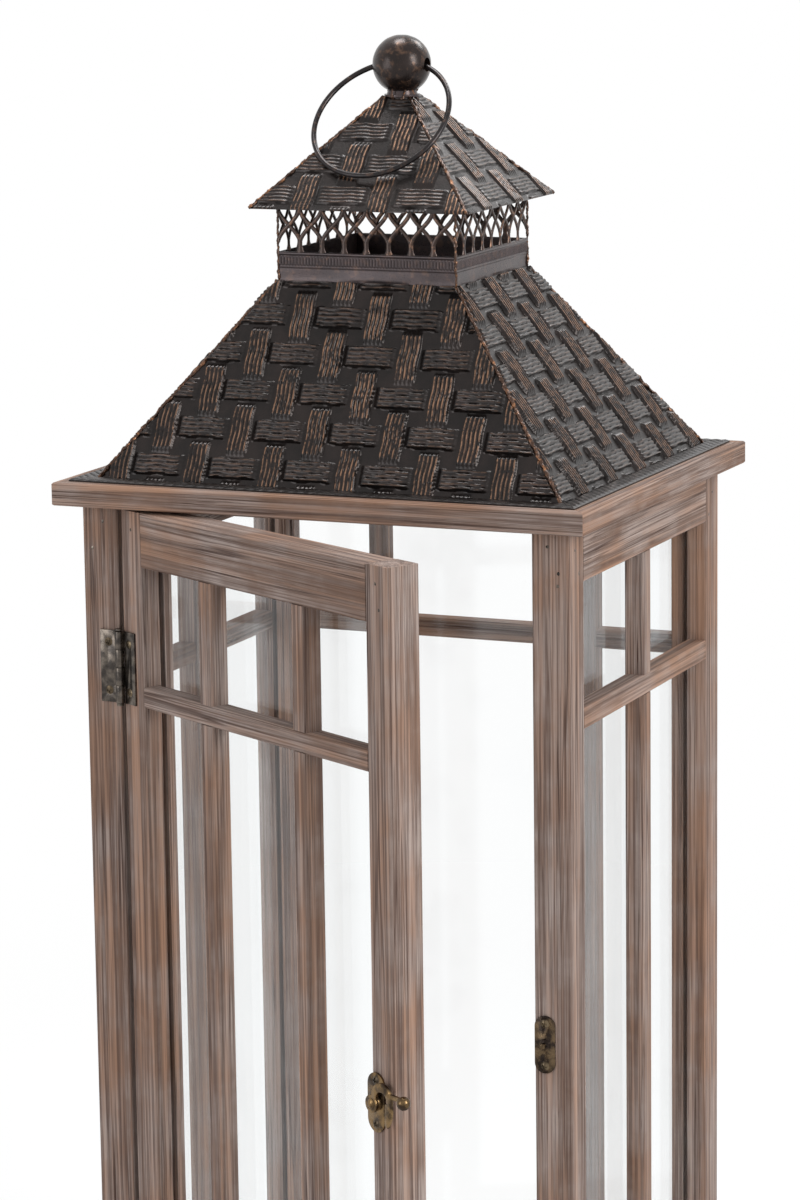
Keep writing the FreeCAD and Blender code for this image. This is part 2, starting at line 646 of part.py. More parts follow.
rim_x = FOOT_X + FLANGE_W
rim_y = FOOT_Y + FLANGE_W
roof_shell = hipped_shell(FOOT_X, FOOT_Y, Z_ROOF, ROOF_TOP, ROOF_TOP, Z_BAND)
rim = box(-rim_x, rim_x, -rim_y, rim_y, Z_ROOF, Z_ROOF + SHEET)
rim = rim.cut(frustum(FOOT_X, FOOT_Y, Z_ROOF, ROOF_TOP, ROOF_TOP, Z_BAND))
roof_shell = roof_shell.fuse(rim)
for name, angle, foot, across in (("front", 0, FOOT_Y, FOOT_X), ("right", 90, FOOT_X, FOOT_Y),
                                  ("back", 180, FOOT_Y, FOOT_X), ("left", 270, FOOT_X, FOOT_Y)):
    save("roof_" + name, roof_side(angle, foot, across, ROOF_TOP, Z_ROOF, Z_BAND,
                                   roof_shell, FLANGE_W))

cap_shell = hipped_shell(EAVE_HALF, EAVE_HALF, Z_EAVE, CAP_TOP_HALF, CAP_TOP_HALF, Z_CAP_TOP)
for name, angle in (("front", 0), ("right", 90), ("back", 180), ("left", 270)):
    save("cap_" + name, roof_side(angle, EAVE_HALF, EAVE_HALF, CAP_TOP_HALF, Z_EAVE, Z_CAP_TOP,
                                  cap_shell, 0))


# ---------------------------------------------------------------------------
# Vent band: a square tube of sheet, pierced with crossing straps
# ---------------------------------------------------------------------------
def arc(p, q, r):
    return Part.Arc(p, q, r).toShape()


def pierced(edges):
    """A hole through a wall, from its outline in X and Z."""
    return Part.Face(Part.Wire(edges)).extrude(V(0, 2 * SHEET, 0))


def leg_arch(x0, pitch):
    """The pointed hole between two legs."""
    y = -CROWN_HALF - SHEET / 2
    leg = LEG_W / 2
    tip = V(x0 + pitch / 2, y, Z_BEAD + CROSS_H - STRAP_W * 0.75)
    a = V(x0 + leg, y, Z_BEAD)
    b = V(x0 + pitch - leg, y, Z_BEAD)
    left = V(x0 + leg + 0.7, y, Z_BEAD + CROSS_H * 0.5)
    right = V(x0 + pitch - leg - 0.7, y, Z_BEAD + CROSS_H * 0.5)
    return pierced([Part.makeLine(a, b), arc(b, right, tip), arc(tip, left, a)])


def kite(x, pitch):
    """The drop-shaped hole above a leg."""
    y = -CROWN_HALF - SHEET / 2
    side = pitch / 2 - STRAP_W * 0.75
    low = V(x, y, Z_BEAD + FORK_H)
    high = V(x, y, Z_BEAD + MEET_H - STRAP_W * 0.6)
    right = V(x + side, y, Z_BEAD + CROSS_H)
    left = V(x - side, y, Z_BEAD + CROSS_H)
    return pierced([
        arc(low, V(x + side * 0.64, y, Z_BEAD + (FORK_H + CROSS_H) / 2 - 0.4), right),
        arc(right, V(x + side * 0.62, y, Z_BEAD + (CROSS_H + MEET_H) / 2), high),
        arc(high, V(x - side * 0.62, y, Z_BEAD + (CROSS_H + MEET_H) / 2), left),
        arc(left, V(x - side * 0.64, y, Z_BEAD + (FORK_H + CROSS_H) / 2 - 0.4), low)])


def spandrel(x0, pitch):
    """The three-cornered hole above a crossing."""
    y = -CROWN_HALF - SHEET / 2
    low = V(x0 + pitch / 2, y, Z_BEAD + CROSS_H + STRAP_W * 0.7)
    a = V(x0 + pitch - STRAP_W * 0.8, y, Z_BEAD + MEET_H)
    b = V(x0 + STRAP_W * 0.8, y, Z_BEAD + MEET_H)
    return pierced([Part.makeLine(low, a), Part.makeLine(a, b), Part.makeLine(b, low)])


def vent_band():
    inner = CROWN_HALF - SHEET
    tube = box(-CROWN_HALF, CROWN_HALF, -CROWN_HALF, CROWN_HALF, Z_BAND, Z_BAND_TOP)
    bead_half = CROWN_HALF + BEAD_OUT
    bead = box(-bead_half, bead_half, -bead_half, bead_half, Z_BEAD - BEAD_H, Z_BEAD)
    tube = tube.fuse(bead).cut(box(-inner, inner, -inner, inner, Z_BAND, Z_BAND_TOP))
    pitch = 2 * CROWN_HALF / ARCHES
    holes = []
    for k in range(ARCHES):
        x0 = -CROWN_HALF + k * pitch
        holes.append(leg_arch(x0, pitch))
        holes.append(spandrel(x0, pitch))
        if k > 0:
            holes.append(kite(x0, pitch))
    cutters = []
    for angle in (0, 90, 180, 270):
        for hole in holes:
            cutter = hole.copy()
            cutter.rotate(V(0, 0, 0), V(0, 0, 1), angle)
            cutters.append(cutter)
    return tube.cut(cutters)


save("vent_band", vent_band())

# ---------------------------------------------------------------------------
# Ball with its seat, and the ring that hangs in the ball's hole
# ---------------------------------------------------------------------------
seat = Part.makeCylinder(SEAT_R, SEAT_T, V(0, 0, Z_CAP_TOP))
seat = seat.fuse(Part.makeCone(SEAT_R - SEAT_T, CUP_R, CUP_H - SEAT_T, V(0, 0, Z_CAP_TOP + SEAT_T)))
seat = seat.cut(Part.makeSphere(BALL_R + BALL_CLEAR, V(0, 0, Z_BALL)))
save("finial_seat", seat.removeSplitter())

turn = math.radians(RING_TURN)
hole_axis = V(math.cos(turn), math.sin(turn), 0)
sagitta = RING_R - math.sqrt(RING_R ** 2 - BALL_R ** 2)
hole_r = sagitta / 2 + WIRE_R + RING_PLAY
ball = Part.makeSphere(BALL_R, V(0, 0, Z_BALL))
bore = Part.makeCylinder(hole_r, 2 * BALL_R, V(0, 0, Z_BALL) - hole_axis * BALL_R, hole_axis)
save("finial_ball", ball.cut(bore))

# The ring leans on the weave of the cap's front. Its lean is found from the
# height of the ball's centre over that slope, along the slope's normal.
ring_arm = RING_R - sagitta / 2
sin_s = math.sin(CAP_SLOPE)
cos_s = math.cos(CAP_SLOPE)
over_slope = cos_s * (Z_BALL - Z_EAVE) - sin_s * EAVE_HALF
spare = over_slope - (WIRE_R + STRAND_H + RING_REST)
skew = sin_s * math.sin(turn)
gap2 = RING_R ** 2 - ring_arm ** 2
dip = (ring_arm * spare - math.sqrt((ring_arm * spare) ** 2
                                    + gap2 * (spare ** 2 - (RING_R * skew) ** 2))) / gap2
lean = (math.acos(dip / math.hypot(sin_s * math.cos(turn), cos_s))
        - math.atan2(cos_s, sin_s * math.cos(turn)))
down = V(math.sin(turn) * math.cos(lean), -math.cos(turn) * math.cos(lean), -math.sin(lean))
ring = Part.makeTorus(RING_R, WIRE_R, V(0, 0, Z_BALL) + down * ring_arm, hole_axis.cross(down))
save("ring_handle", ring)

print("ring: axis %.5f %.5f, leans %.3f, can swing %.2f degrees"
      % (hole_axis.x, hole_axis.y, math.degrees(lean), 180 + 2 * math.degrees(lean)))
print("ball centre z %.3f, hinge axis %.3f %.3f, height %.2f"
      % (Z_BALL, PIVOT_X, PIVOT_Y, Z_BALL + BALL_R))
rivet = turn_door(Part.Vertex(RIVET_X, -BY - HOOK_BACK, RIVET_Z)).Point
stud = turn_door(Part.Vertex(STUD_X, -BY - HOOK_BACK, STUD_Z)).Point
print("rivet at rest %.3f %.3f %.3f, notch %.3f %.3f %.3f"
      % (rivet.x, rivet.y, rivet.z, stud.x, stud.y, stud.z))
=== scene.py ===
# %% [markdown]
# # A floor lantern with an embossed roof
# The lantern is a wooden frame with four panes, a door that stands open and a roof of
# pressed sheet metal. The frame that is loaded here brings every solid in its true place.
# What the solids leave plain is made below: the weave in the roof, the lattice of the vent
# band, rough seams, grain and glass. Lengths are in millimetres until a mesh is made.

# %% Imports and the frame
import math

import bmesh
import bpy
import numpy as np
from mathutils import Matrix, Vector


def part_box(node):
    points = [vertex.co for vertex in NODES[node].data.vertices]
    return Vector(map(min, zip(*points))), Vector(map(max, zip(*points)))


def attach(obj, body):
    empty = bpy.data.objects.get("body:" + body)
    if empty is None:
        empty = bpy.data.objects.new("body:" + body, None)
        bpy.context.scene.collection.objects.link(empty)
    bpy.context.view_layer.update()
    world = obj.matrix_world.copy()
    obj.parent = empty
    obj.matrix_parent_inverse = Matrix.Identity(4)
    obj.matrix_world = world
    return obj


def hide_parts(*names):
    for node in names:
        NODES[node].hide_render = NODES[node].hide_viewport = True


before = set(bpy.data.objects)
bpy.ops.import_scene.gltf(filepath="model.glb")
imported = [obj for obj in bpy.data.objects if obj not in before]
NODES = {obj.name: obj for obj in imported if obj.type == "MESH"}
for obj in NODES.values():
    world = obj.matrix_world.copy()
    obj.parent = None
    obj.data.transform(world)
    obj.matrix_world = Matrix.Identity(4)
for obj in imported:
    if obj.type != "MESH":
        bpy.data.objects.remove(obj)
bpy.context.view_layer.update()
MM = 0.001
print("nodes:", len(NODES))

# %% [markdown]
# ## Sizes
# A dressed piece has to lie on its solid, so both need the same sizes. Those that several
# pieces share stand here, and each piece's own stand beside it.

# %% Sizes of the solids
DOOR_OPEN = 29.3                          # degrees
HINGE_X, HINGE_Y = -128.75, -129.8        # upright axis of the door's hinges
POST_FRONT, POST_RIGHT = -127.0, 152.0    # outer faces of the front and right posts
Z_ROOF, Z_BAND = 629.5, 742.0             # foot and top of the roof
Z_BEAD, Z_BAND_TOP = 759.0, 795.9         # top of the band's plain strip, and of the band
Z_EAVE, Z_CAP = 784.6, 846.1              # foot and top of the cap
FOOT_X, FOOT_Y, ROOF_TOP = 144.5, 119.5, 56.4    # half the roof's foot, half its top
BAND, EAVE, CAP_TOP = 56.0, 68.6, 8.0     # half the band, the eave and the cap's top
FLANGE, SHEET = 13.0, 0.9                 # width of the roof's flange, thickness of sheet
UP = np.array([0.0, 0.0, 1.0])
SIDES = (("front", 0), ("right", 90), ("back", 180), ("left", 270))
CORNERS = ((1, -1), (1, 1), (-1, 1), (-1, -1))
print("roof:", Z_BAND - Z_ROOF, "mm high, cap:", round(Z_CAP - Z_EAVE, 1), "mm high")


# %% [markdown]
# ## Shader maths
# A finish is a sum of a few noises. Sums could be wired node by node, but they read better
# as sums, so `Val` wraps a socket and turns each + or * into a Math node. `Net` makes
# every other node.

# %% Values in a shader
class Val:
    """A number, colour or shader that a node gives."""

    def __init__(self, net, socket):
        self.net = net
        self.socket = socket

    def _op(self, kind, a, b=None):
        node = self.net.tree.nodes.new("ShaderNodeMath")
        node.operation = kind
        self.net.feed(node.inputs[0], a)
        if b is not None:
            self.net.feed(node.inputs[1], b)
        return Val(self.net, node.outputs[0])

    def __add__(self, other):
        return self._op("ADD", self, other)

    def __sub__(self, other):
        return self._op("SUBTRACT", self, other)

    def __mul__(self, other):
        return self._op("MULTIPLY", self, other)

    def __truediv__(self, other):
        return self._op("DIVIDE", self, other)

    def __pow__(self, other):
        return self._op("POWER", self, other)

    def __radd__(self, other):
        return self._op("ADD", other, self)

    def __rsub__(self, other):
        return self._op("SUBTRACT", other, self)

    def __rmul__(self, other):
        return self._op("MULTIPLY", other, self)

    def __rtruediv__(self, other):
        return self._op("DIVIDE", other, self)

    def __abs__(self):
        return self._op("ABSOLUTE", self)

    def most(self, other):
        return self._op("MAXIMUM", self, other)

    def step(self, low, high):
        """0 below low, 1 above high and smooth between them."""
        return self.net.node("ShaderNodeMapRange", {"interpolation_type": "SMOOTHSTEP"},
                             {"Value": self, "From Min": low, "From Max": high})


print("operators:", [name for name in vars(Val) if name.startswith("__r")])


# %% Node trees
class Net:
    """The node tree of a material or a world, with one method that makes any node."""

    def __init__(self, owner):
        owner.use_nodes = True
        self.owner = owner
        self.tree = owner.node_tree
        self.tree.nodes.clear()

    def feed(self, socket, value):
        if isinstance(value, Val):
            self.tree.links.new(value.socket, socket)
        else:
            socket.default_value = value

    def node(self, kind, settings=None, sockets=None, out=0):
        node = self.tree.nodes.new(kind)
        for key, value in (settings or {}).items():
            setattr(node, key, value)
        for key, value in (sockets or {}).items():
            self.feed(node.inputs[key], value)
        return Val(self, node.outputs[out])

    def mix(self, fac, a, b):
        """Two colours, mixed. Sockets 6, 7 and 2 are the colour ones of this node."""
        return self.node("ShaderNodeMix", {"data_type": "RGBA"}, {0: fac, 6: a, 7: b}, out=2)

    def noise(self, where, scale, detail=4.0, rough=0.55, bend=0.0):
        return self.node("ShaderNodeTexNoise", None,
                         {"Vector": where, "Scale": scale, "Detail": detail,
                          "Roughness": rough, "Distortion": bend})

    def bump(self, height, distance, strength=1.0):
        return self.node("ShaderNodeBump", None,
                         {"Height": height, "Distance": distance, "Strength": strength})

    def place(self):
        return self.node("ShaderNodeTexCoord", out="Object")

    def principled(self, **sockets):
        names = {key.replace("_", " "): value for key, value in sockets.items()}
        return self.node("ShaderNodeBsdfPrincipled", None, names)

    def finish(self, shader, output="ShaderNodeOutputMaterial"):
        end = self.tree.nodes.new(output)
        self.tree.links.new(shader.socket, end.inputs["Surface"])
        return self.owner


def material_net(name):
    return Net(bpy.data.materials.new(name))


def srgb(r, g, b):
    """A colour as a picture shows it, 0 to 255, made linear."""
    def lin(c):
        c = c / 255
        return c / 12.92 if c <= 0.04045 else ((c + 0.055) / 1.055) ** 2.4
    return (lin(r), lin(g), lin(b), 1.0)


print("mid grey is", round(srgb(128, 128, 128)[0], 3), "in linear light")


# %% [markdown]
# ## Weathered timber
# The frame is reddish softwood under a worn grey wash. Painted pictures of grain would
# need unwrapping, and they repeat. Noise that is stretched along a piece needs neither:
# broad bands of wash, streaks of red, fine pores and thin dark cracks all follow it.
# Each object's own random number moves the noise, so that no two pieces match.

# %% Timber
GRAIN_STRETCH = 0.011       # how fast the noise runs along the grain, against across it
PIECE_SHIFT = 7.0           # metres of noise between pieces
RED_DARK, RED_LIGHT = srgb(88, 64, 51), srgb(156, 120, 97)
WASH_DARK, WASH_LIGHT = srgb(110, 95, 89), srgb(168, 154, 147)
CRACK, PORE = srgb(66, 46, 38), srgb(80, 58, 49)


def timber(name, axis, turn=0.0):
    """Wood whose grain runs along an axis. turn brings the open door's axes back to it."""
    net = material_net(name)
    stretch = [1.0, 1.0, 1.0]
    stretch["XYZ".index(axis)] = GRAIN_STRETCH
    turned = net.node("ShaderNodeVectorRotate", {"rotation_type": "Z_AXIS"},
                      {"Vector": net.place(), "Angle": math.radians(turn)})
    own = net.node("ShaderNodeObjectInfo", out="Random") * PIECE_SHIFT
    shifted = net.node("ShaderNodeVectorMath", {"operation": "ADD"}, {0: turned, 1: own})
    along = net.node("ShaderNodeVectorMath", {"operation": "MULTIPLY"},
                     {0: shifted, 1: tuple(stretch)})
    broad = net.noise(along, 75, 3, 0.5, 0.5)
    streak = net.noise(along, 300, 4, 0.55, 0.4)
    fine = net.noise(along, 1000, 4, 0.6, 0.2)
    patch = net.noise(shifted, 14, 3, 0.5, 0.2)
    cloud = net.noise(shifted, 46, 4, 0.55, 0.0)
    red = net.mix(streak.step(0.34, 0.66), RED_DARK, RED_LIGHT)
    grey = net.mix(fine.step(0.32, 0.68), WASH_DARK, WASH_LIGHT)
    washed = (broad.step(0.36, 0.64) * 0.26 + patch.step(0.36, 0.62) * 0.50
              + cloud.step(0.42, 0.68) * 0.22)
    colour = net.mix(washed, red, grey)
    line = 1.0 - abs(streak - 0.47).step(0.003, 0.022)
    deep = 1.0 - abs(broad - 0.53).step(0.002, 0.014)
    dark = (line * 0.44 + deep * 0.66) * patch.step(0.2, 0.55)
    colour = net.mix(dark, colour, CRACK)
    colour = net.mix((1.0 - fine.step(0.34, 0.48)) * 0.46, colour, PORE)
    height = fine * 0.5 + streak * 0.8 - dark * 0.9
    shader = net.principled(Base_Color=colour, Roughness=0.62 + fine * 0.25,
                            Normal=net.bump(height, 0.0006, 0.7), Specular_IOR_Level=0.3)
    return net.finish(shader)


WOOD = {"X": timber("timber_x", "X"), "Y": timber("timber_y", "Y"), "Z": timber("timber_z", "Z"),
        "DX": timber("timber_door_x", "X", DOOR_OPEN), "DZ": timber("timber_door_z", "Z", DOOR_OPEN)}
print("timber:", len(WOOD))


# %% [markdown]
# ## Bronze
# The roof is dark bronze, and handling has rubbed its high ribs to copper. The copper on the
# crests is also a painted highlight, much stronger on the strands that run up the slope. A
# shader can't know by itself what is high. So each pressed sheet carries two values on its
# vertices, `relief` for how high a point stands and `warp` for the strands that run up the
# slope, and the copper follows them. Other pieces are rubbed in blotches of noise.

# %% Bronze
GRIME = (12, 9, 8)          # how much lighter the ground is where grime has settled


def bronze(name, pressed, rub=0.5, dark=(29, 25, 24), bright=(162, 122, 95)):
    net = material_net(name)
    place = net.place()
    grime = net.noise(place, 60, 5, 0.6)
    speck = net.noise(place, 1400, 3, 0.6)
    blot = net.noise(place, 230, 4, 0.6, 0.4)
    dusty = [base + more for base, more in zip(dark, GRIME)]
    ground = net.mix(grime.step(0.35, 0.7), srgb(*dark), srgb(*dusty))
    if pressed:
        relief = net.node("ShaderNodeAttribute", {"attribute_name": "relief"}, out="Fac")
        warp = net.node("ShaderNodeAttribute", {"attribute_name": "warp"}, out="Fac")
        # Copper on the rib crests is rubbed wear and also a painted highlight, mostly on the up-slope
        # strands.
        crest = relief.step(0.86, 1.0)
        wear_and_highlight = crest * (0.14 + warp * 0.74) * blot.step(0.36, 0.62) * (0.4 + grime * 0.8)
    else:
        wear_and_highlight = blot.step(0.5, 0.72) * rub * (0.4 + speck)
    colour = net.mix(wear_and_highlight, ground, srgb(*bright))
    rough = 0.22 + speck * 0.14 + wear_and_highlight * 0.16
    height = speck * 0.4 + blot * 0.8
    shader = net.principled(Base_Color=colour, Metallic=0.62 - wear_and_highlight * 0.12, Roughness=rough,
                            Specular_IOR_Level=0.32, Coat_Weight=0.14, Coat_Roughness=0.2,
                            Normal=net.bump(height, 0.00025, 0.4))
    return net.finish(shader)


SHEET_METAL = bronze("bronze_pressed", True)
PLAIN_METAL = bronze("bronze_plain", False, 0.14, (60, 53, 54))
BALL_METAL = bronze("bronze_ball", False, 0.24, (34, 27, 25))
RING_METAL = bronze("bronze_ring", False, 0.18, (30, 27, 28))
LATTICE_METAL = bronze("bronze_lattice", False, 0.75, (52, 41, 37), (142, 106, 84))
SEAM_METAL = bronze("copper_seam", False, 0.9, (62, 44, 34), (160, 110, 74))
print("bronzes:", [m.name for m in bpy.data.materials if "bronze" in m.name])


# %% [markdown]
# ## Hardware
# Hinges, latch and screws are small metal parts that have gone dark in spots. Two colours
# of one metal, mixed by a soft noise, show that without any second layer.

# %% Brass and hinge steel
def hardware(name, low, high, rough):
    net = material_net(name)
    place = net.place()
    stain = net.noise(place, 170, 3, 0.5, 0.2)
    speck = net.noise(place, 1500, 3, 0.6)
    colour = net.mix(stain.step(0.36, 0.64), srgb(*low), srgb(*high))
    shader = net.principled(Base_Color=colour, Metallic=0.95, Roughness=rough + speck * 0.16,
                            Normal=net.bump(speck, 0.0001, 0.25))
    return net.finish(shader)


BRASS = hardware("antique_brass", (58, 47, 36), (126, 102, 70), 0.2)
STRIKE = hardware("dark_brass", (46, 39, 35), (104, 87, 66), 0.2)
HINGE = hardware("hinge_steel", (60, 56, 53), (104, 96, 88), 0.2)
SCREW = hardware("screw_steel", (60, 52, 42), (112, 98, 78), 0.22)
print("hardware:", BRASS.name, STRIKE.name, HINGE.name, SCREW.name)


# %% [markdown]
# ## Window glass
# A thin pane hardly bends light: one sees through it, with more shine at a glance. A true
# glass shader would darken what is behind four panes. Clear and shiny surfaces, mixed by
# the angle of view, stay bright, and a faint noise stands for dust.

# %% Glass
def window_glass(name):
    net = material_net(name)
    dust = net.noise(net.place(), 22, 4, 0.6)
    glance = net.node("ShaderNodeLayerWeight", None, {"Blend": 0.5}, out="Facing")
    clear = net.node("ShaderNodeBsdfTransparent", None, {"Color": (0.995, 0.998, 0.998, 1.0)})
    shine = net.principled(Base_Color=srgb(238, 241, 243), Metallic=1.0, Roughness=0.04 + dust * 0.05)
    amount = 0.035 + glance ** 4.0 * 0.4 + dust.step(0.45, 0.8) * 0.03
    return net.finish(net.node("ShaderNodeMixShader", None, {0: amount, 1: clear, 2: shine}))


GLASS = window_glass("window_glass")
print("glass:", GLASS.name)


# %% [markdown]
# ## From points to a piece
# Every dressed piece rides on a body, fills a material slot and may take the place of a
# solid. That is the same for all, so it is written once. Faces are turned outwards, and
# only real corners stay sharp.

# %% Standing a piece
def seal(bm, mesh, sharp):
    """The edited mesh, smooth but for edges over so many degrees."""
    bmesh.ops.recalc_face_normals(bm, faces=bm.faces)
    bm.to_mesh(mesh)
    bm.free()
    mesh.polygons.foreach_set("use_smooth", [True] * len(mesh.polygons))
    mesh.set_sharp_from_angle(angle=math.radians(sharp))


def stand(name, mesh, body, replaces):
    obj = bpy.data.objects.new(name, mesh)
    bpy.context.scene.collection.objects.link(obj)
    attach(obj, body)
    if replaces:
        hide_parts(*replaces)
    print(name, len(mesh.polygons), "faces")


def make(name, verts, faces, material, body="frame", replaces=(), values=None):
    """A piece from points in millimetres. values are numbers for the shader, per point."""
    mesh = bpy.data.meshes.new(name)
    mesh.from_pydata((np.asarray(verts, float) * MM).tolist(), [], faces)
    mesh.materials.append(material)
    for key, numbers in (values or {}).items():
        layer = mesh.attributes.new(key, "FLOAT", "POINT")
        layer.data.foreach_set("value", np.asarray(numbers, np.float32))
    bm = bmesh.new()
    bm.from_mesh(mesh)
    seal(bm, mesh, 50)
    stand(name, mesh, body, replaces)


# %% [markdown]
# ## Sheets
# A pressed sheet could be made with a displace modifier, but then its edges would move
# too. Here it is a grid of points whose heights are worked out, with walls round the edge
# and one flat face below, so it is closed like the real sheet.

# %% Grids and closed sheets
def rotated(points, degrees):
    """Points turned about the upright axis."""
    turn = math.radians(degrees)
    c, s = math.cos(turn), math.sin(turn)
    return np.asarray(points) @ np.array([[c, s, 0], [-s, c, 0], [0, 0, 1]])


def grid_faces(rows, cols, start=0, wrap=False):
    """Quads of a grid of points. wrap joins each row's last point to its first."""
    r = np.arange(rows - 1)[:, None] * cols
    c = np.arange(cols if wrap else cols - 1)[None, :]
    nxt = (c + 1) % cols
    quads = np.stack([r + c, r + nxt, r + cols + nxt, r + cols + c], axis=-1)
    return (quads.reshape(-1, 4) + start).tolist()


def rim_order(rows, cols):
    """The points round the edge of a grid, in turn."""
    low = [(0, c) for c in range(cols)]
    right = [(r, cols - 1) for r in range(1, rows)]
    high = [(rows - 1, c) for c in range(cols - 2, -1, -1)]
    left = [(r, 0) for r in range(rows - 2, 0, -1)]
    return low + right + high + left


def closed_sheet(top, under):
    """A grid of points, walls round it and one flat face below."""
    rows, cols = top.shape[:2]
    rim = rim_order(rows, cols)
    below = np.array([under[r, c] for r, c in rim])
    verts = np.vstack([top.reshape(-1, 3), below])
    faces = grid_faces(rows, cols)
    start = rows * cols
    count = len(rim)
    for k, (a, b) in enumerate(zip(rim, rim[1:] + rim[:1])):
        faces.append([a[0] * cols + a[1], b[0] * cols + b[1], start + (k + 1) % count, start + k])
    faces.append([start + k for k in range(count)][::-1])
    return verts, faces


def gather(parts):
    """Several meshes as one."""
    verts, faces, start = [], [], 0
    for v, f in parts:
        verts.append(np.asarray(v, float))
        faces += [[i + start for i in face] for face in f]
        start += len(v)
    return np.vstack(verts), faces


def smooth(x):
    """0 to 1 with a soft start and end."""
    x = np.clip(x, 0, 1)
    return x * x * (3 - 2 * x)


print("a grid of 3 by 4 points has", len(grid_faces(3, 4)), "faces")


# %% [markdown]
# ## The basket weave
# The real sheet is pressed to look woven. At each crossing of rows and columns one strand
# lies on top: up the slope where the sum of row and column is even, across it where the
# sum is odd. Every strand has five round ribs, and dives under its neighbours at both
# ends. Strands as separate rods would leave gaps between them, so the weave is a height
# over the slope, and the highest strand wins at each point.

# %% Weave
WEAVE, WEAVE_START = 24.0, 11.0           # pitch, and the first row above the foot
STRAND_HALF, STRAND_REACH, RIBS = 6.5, 17.0, 5
STRAY = 0.8                               # how far a strand may lie off its place
RAMP = 4.0                                # length of a strand's sloping end
SAG_AT_END, RIB_ROOT = 0.22, 0.45         # shares of a strand's height


def weave(u, s, height):
    """Height over the sheet, crest value and strand direction at points of a slope."""
    high = np.zeros_like(u)
    crest = np.zeros_like(u)
    warp = np.zeros_like(u)
    col0 = np.floor(u / WEAVE).astype(int)
    row0 = np.rint((s - WEAVE_START) / WEAVE).astype(int)
    for col_step in (-1, 0, 1):
        for row_step in (-1, 0, 1):
            col, row = col0 + col_step, row0 + row_step
            jitter = np.sin(col * 12.99 + row * 78.23) * 43758.5453
            jitter = (jitter - np.floor(jitter)) - 0.5
            a = u - (col + 0.5) * WEAVE - jitter * STRAY
            b = s - WEAVE_START - row * WEAVE + jitter * STRAY
            upright = (col + row) % 2 == 0
            lengthways = np.where(upright, b, a)
            across = np.where(upright, a, b)
            across = across + 0.25 * np.sin(lengthways * 0.35 + jitter * 9)
            ramp = smooth((STRAND_REACH - np.abs(lengthways)) / RAMP)
            arch = 1.0 - SAG_AT_END * (lengthways / STRAND_REACH) ** 2
            width = 2 * STRAND_HALF / RIBS
            phase = np.mod(across + STRAND_HALF, width) / (width / 2) - 1
            rib = np.sqrt(np.clip(1 - phase ** 2, 0, 1))
            inside = smooth((STRAND_HALF - np.abs(across)) / 0.7)
            body = (RIB_ROOT + (1 - RIB_ROOT) * rib) * inside
            level = height * (1 + 0.16 * jitter) * body * ramp * arch
            wins = level > high
            high = np.where(wins, level, high)
            crest = np.where(wins, rib * inside * ramp, crest)
            warp = np.where(wins, upright.astype(float) * 0.9 + 0.1, warp)
    return high, crest, warp


probe = np.linspace(-WEAVE, WEAVE, 200)[None, :]
print("highest rib over the sheet:", round(float(weave(probe, probe, 1.0)[0].max()), 2), "of its height")


# %% [markdown]
# ## Pressed sheets
# Four sheets make the roof and four the cap. Each is a trapezium that is tipped onto its
# slope, so the weave is worked out flat and then laid over. It fades out at the edges,
# where the real sheets meet. The roof's sheets also have a flange that lies on the
# cornice, pressed with a row of leaning leaves.

# %% Pressed sheets
ROOF = {"top": ROOF_TOP, "z0": Z_ROOF, "z1": Z_BAND, "height": 2.3, "spacing": 0.72, "flange": FLANGE}
CAP = {"top": CAP_TOP, "z0": Z_EAVE, "z1": Z_CAP, "height": 1.5, "spacing": 0.66, "flange": 0}
LEAF_PITCH, LEAF_LEAN, LEAF_HEIGHT, EDGE_HEIGHT = 6.4, 1.1, 0.9, 0.5
FLANGE_ROWS, FLANGE_SPACING, FLANGE_WARP = 14, 0.9, 0.25


def slope_sheet(foot, across, top, z0, z1, height, spacing, seed):
    """One slope of the roof: its mesh, and relief and warp on the points of its top."""
    run = foot - top
    rise = z1 - z0
    length = math.hypot(run, rise)
    cos_a, sin_a = run / length, rise / length
    rows = int(length / spacing)
    cols = int(2 * across / spacing)
    s = np.linspace(0, length, rows)[:, None] * np.ones((1, cols))
    t = np.linspace(-1, 1, cols)[None, :] * np.ones((rows, 1))
    half = across + (top - across) * s / length
    u = t * half
    raised, crest, warp = weave(u, s, height)
    fade = smooth((half - np.abs(u)) / 1.6) * smooth(s / 0.8) * smooth((length - s) / 0.8)
    dent = 0.12 * np.sin(u * 0.11 + seed) * np.sin(s * 0.13 + 2 * seed) * fade
    lift = raised * fade + dent
    surface = np.stack([u, -(foot - s * cos_a) - lift * sin_a, z0 + s * sin_a + lift * cos_a], axis=-1)
    inward = SHEET / sin_a
    inner = np.stack([t * (half - inward), -(foot - s * cos_a) + inward, z0 + s * sin_a], axis=-1)
    return closed_sheet(surface, inner), crest, warp


def flange_sheet(foot, across, z0, width):
    """The flange at the foot of a slope, in the same form."""
    cols = int(2 * (across + width) / FLANGE_SPACING)
    v = np.linspace(0.4, width, FLANGE_ROWS)[:, None] * np.ones((1, cols))
    t = np.linspace(-1, 1, cols)[None, :] * np.ones((FLANGE_ROWS, 1))
    x = t * (across + v)
    swirl = np.mod((x + LEAF_LEAN * v) / LEAF_PITCH, 1.0) * 2 - 1
    leaf = np.sqrt(np.clip(1 - swirl ** 2, 0, 1)) * smooth(v / 2.5) * smooth((width - v) / 2.0)
    edge = smooth(1 - (width - v) / 1.4) * smooth((width - v) / 0.4)
    lip = np.stack([x, -(foot + v), z0 + SHEET + LEAF_HEIGHT * leaf + EDGE_HEIGHT * edge], axis=-1)
    flat = np.stack([x, -(foot + v), np.full_like(x, z0)], axis=-1)
    return closed_sheet(lip, flat), leaf * 0.93, np.full_like(x, FLANGE_WARP)


def padded(numbers, mesh):
    """Values for every point of a mesh, 0 for those below the sheet."""
    return np.concatenate([numbers.ravel(), np.zeros(len(mesh[0]) - numbers.size)])


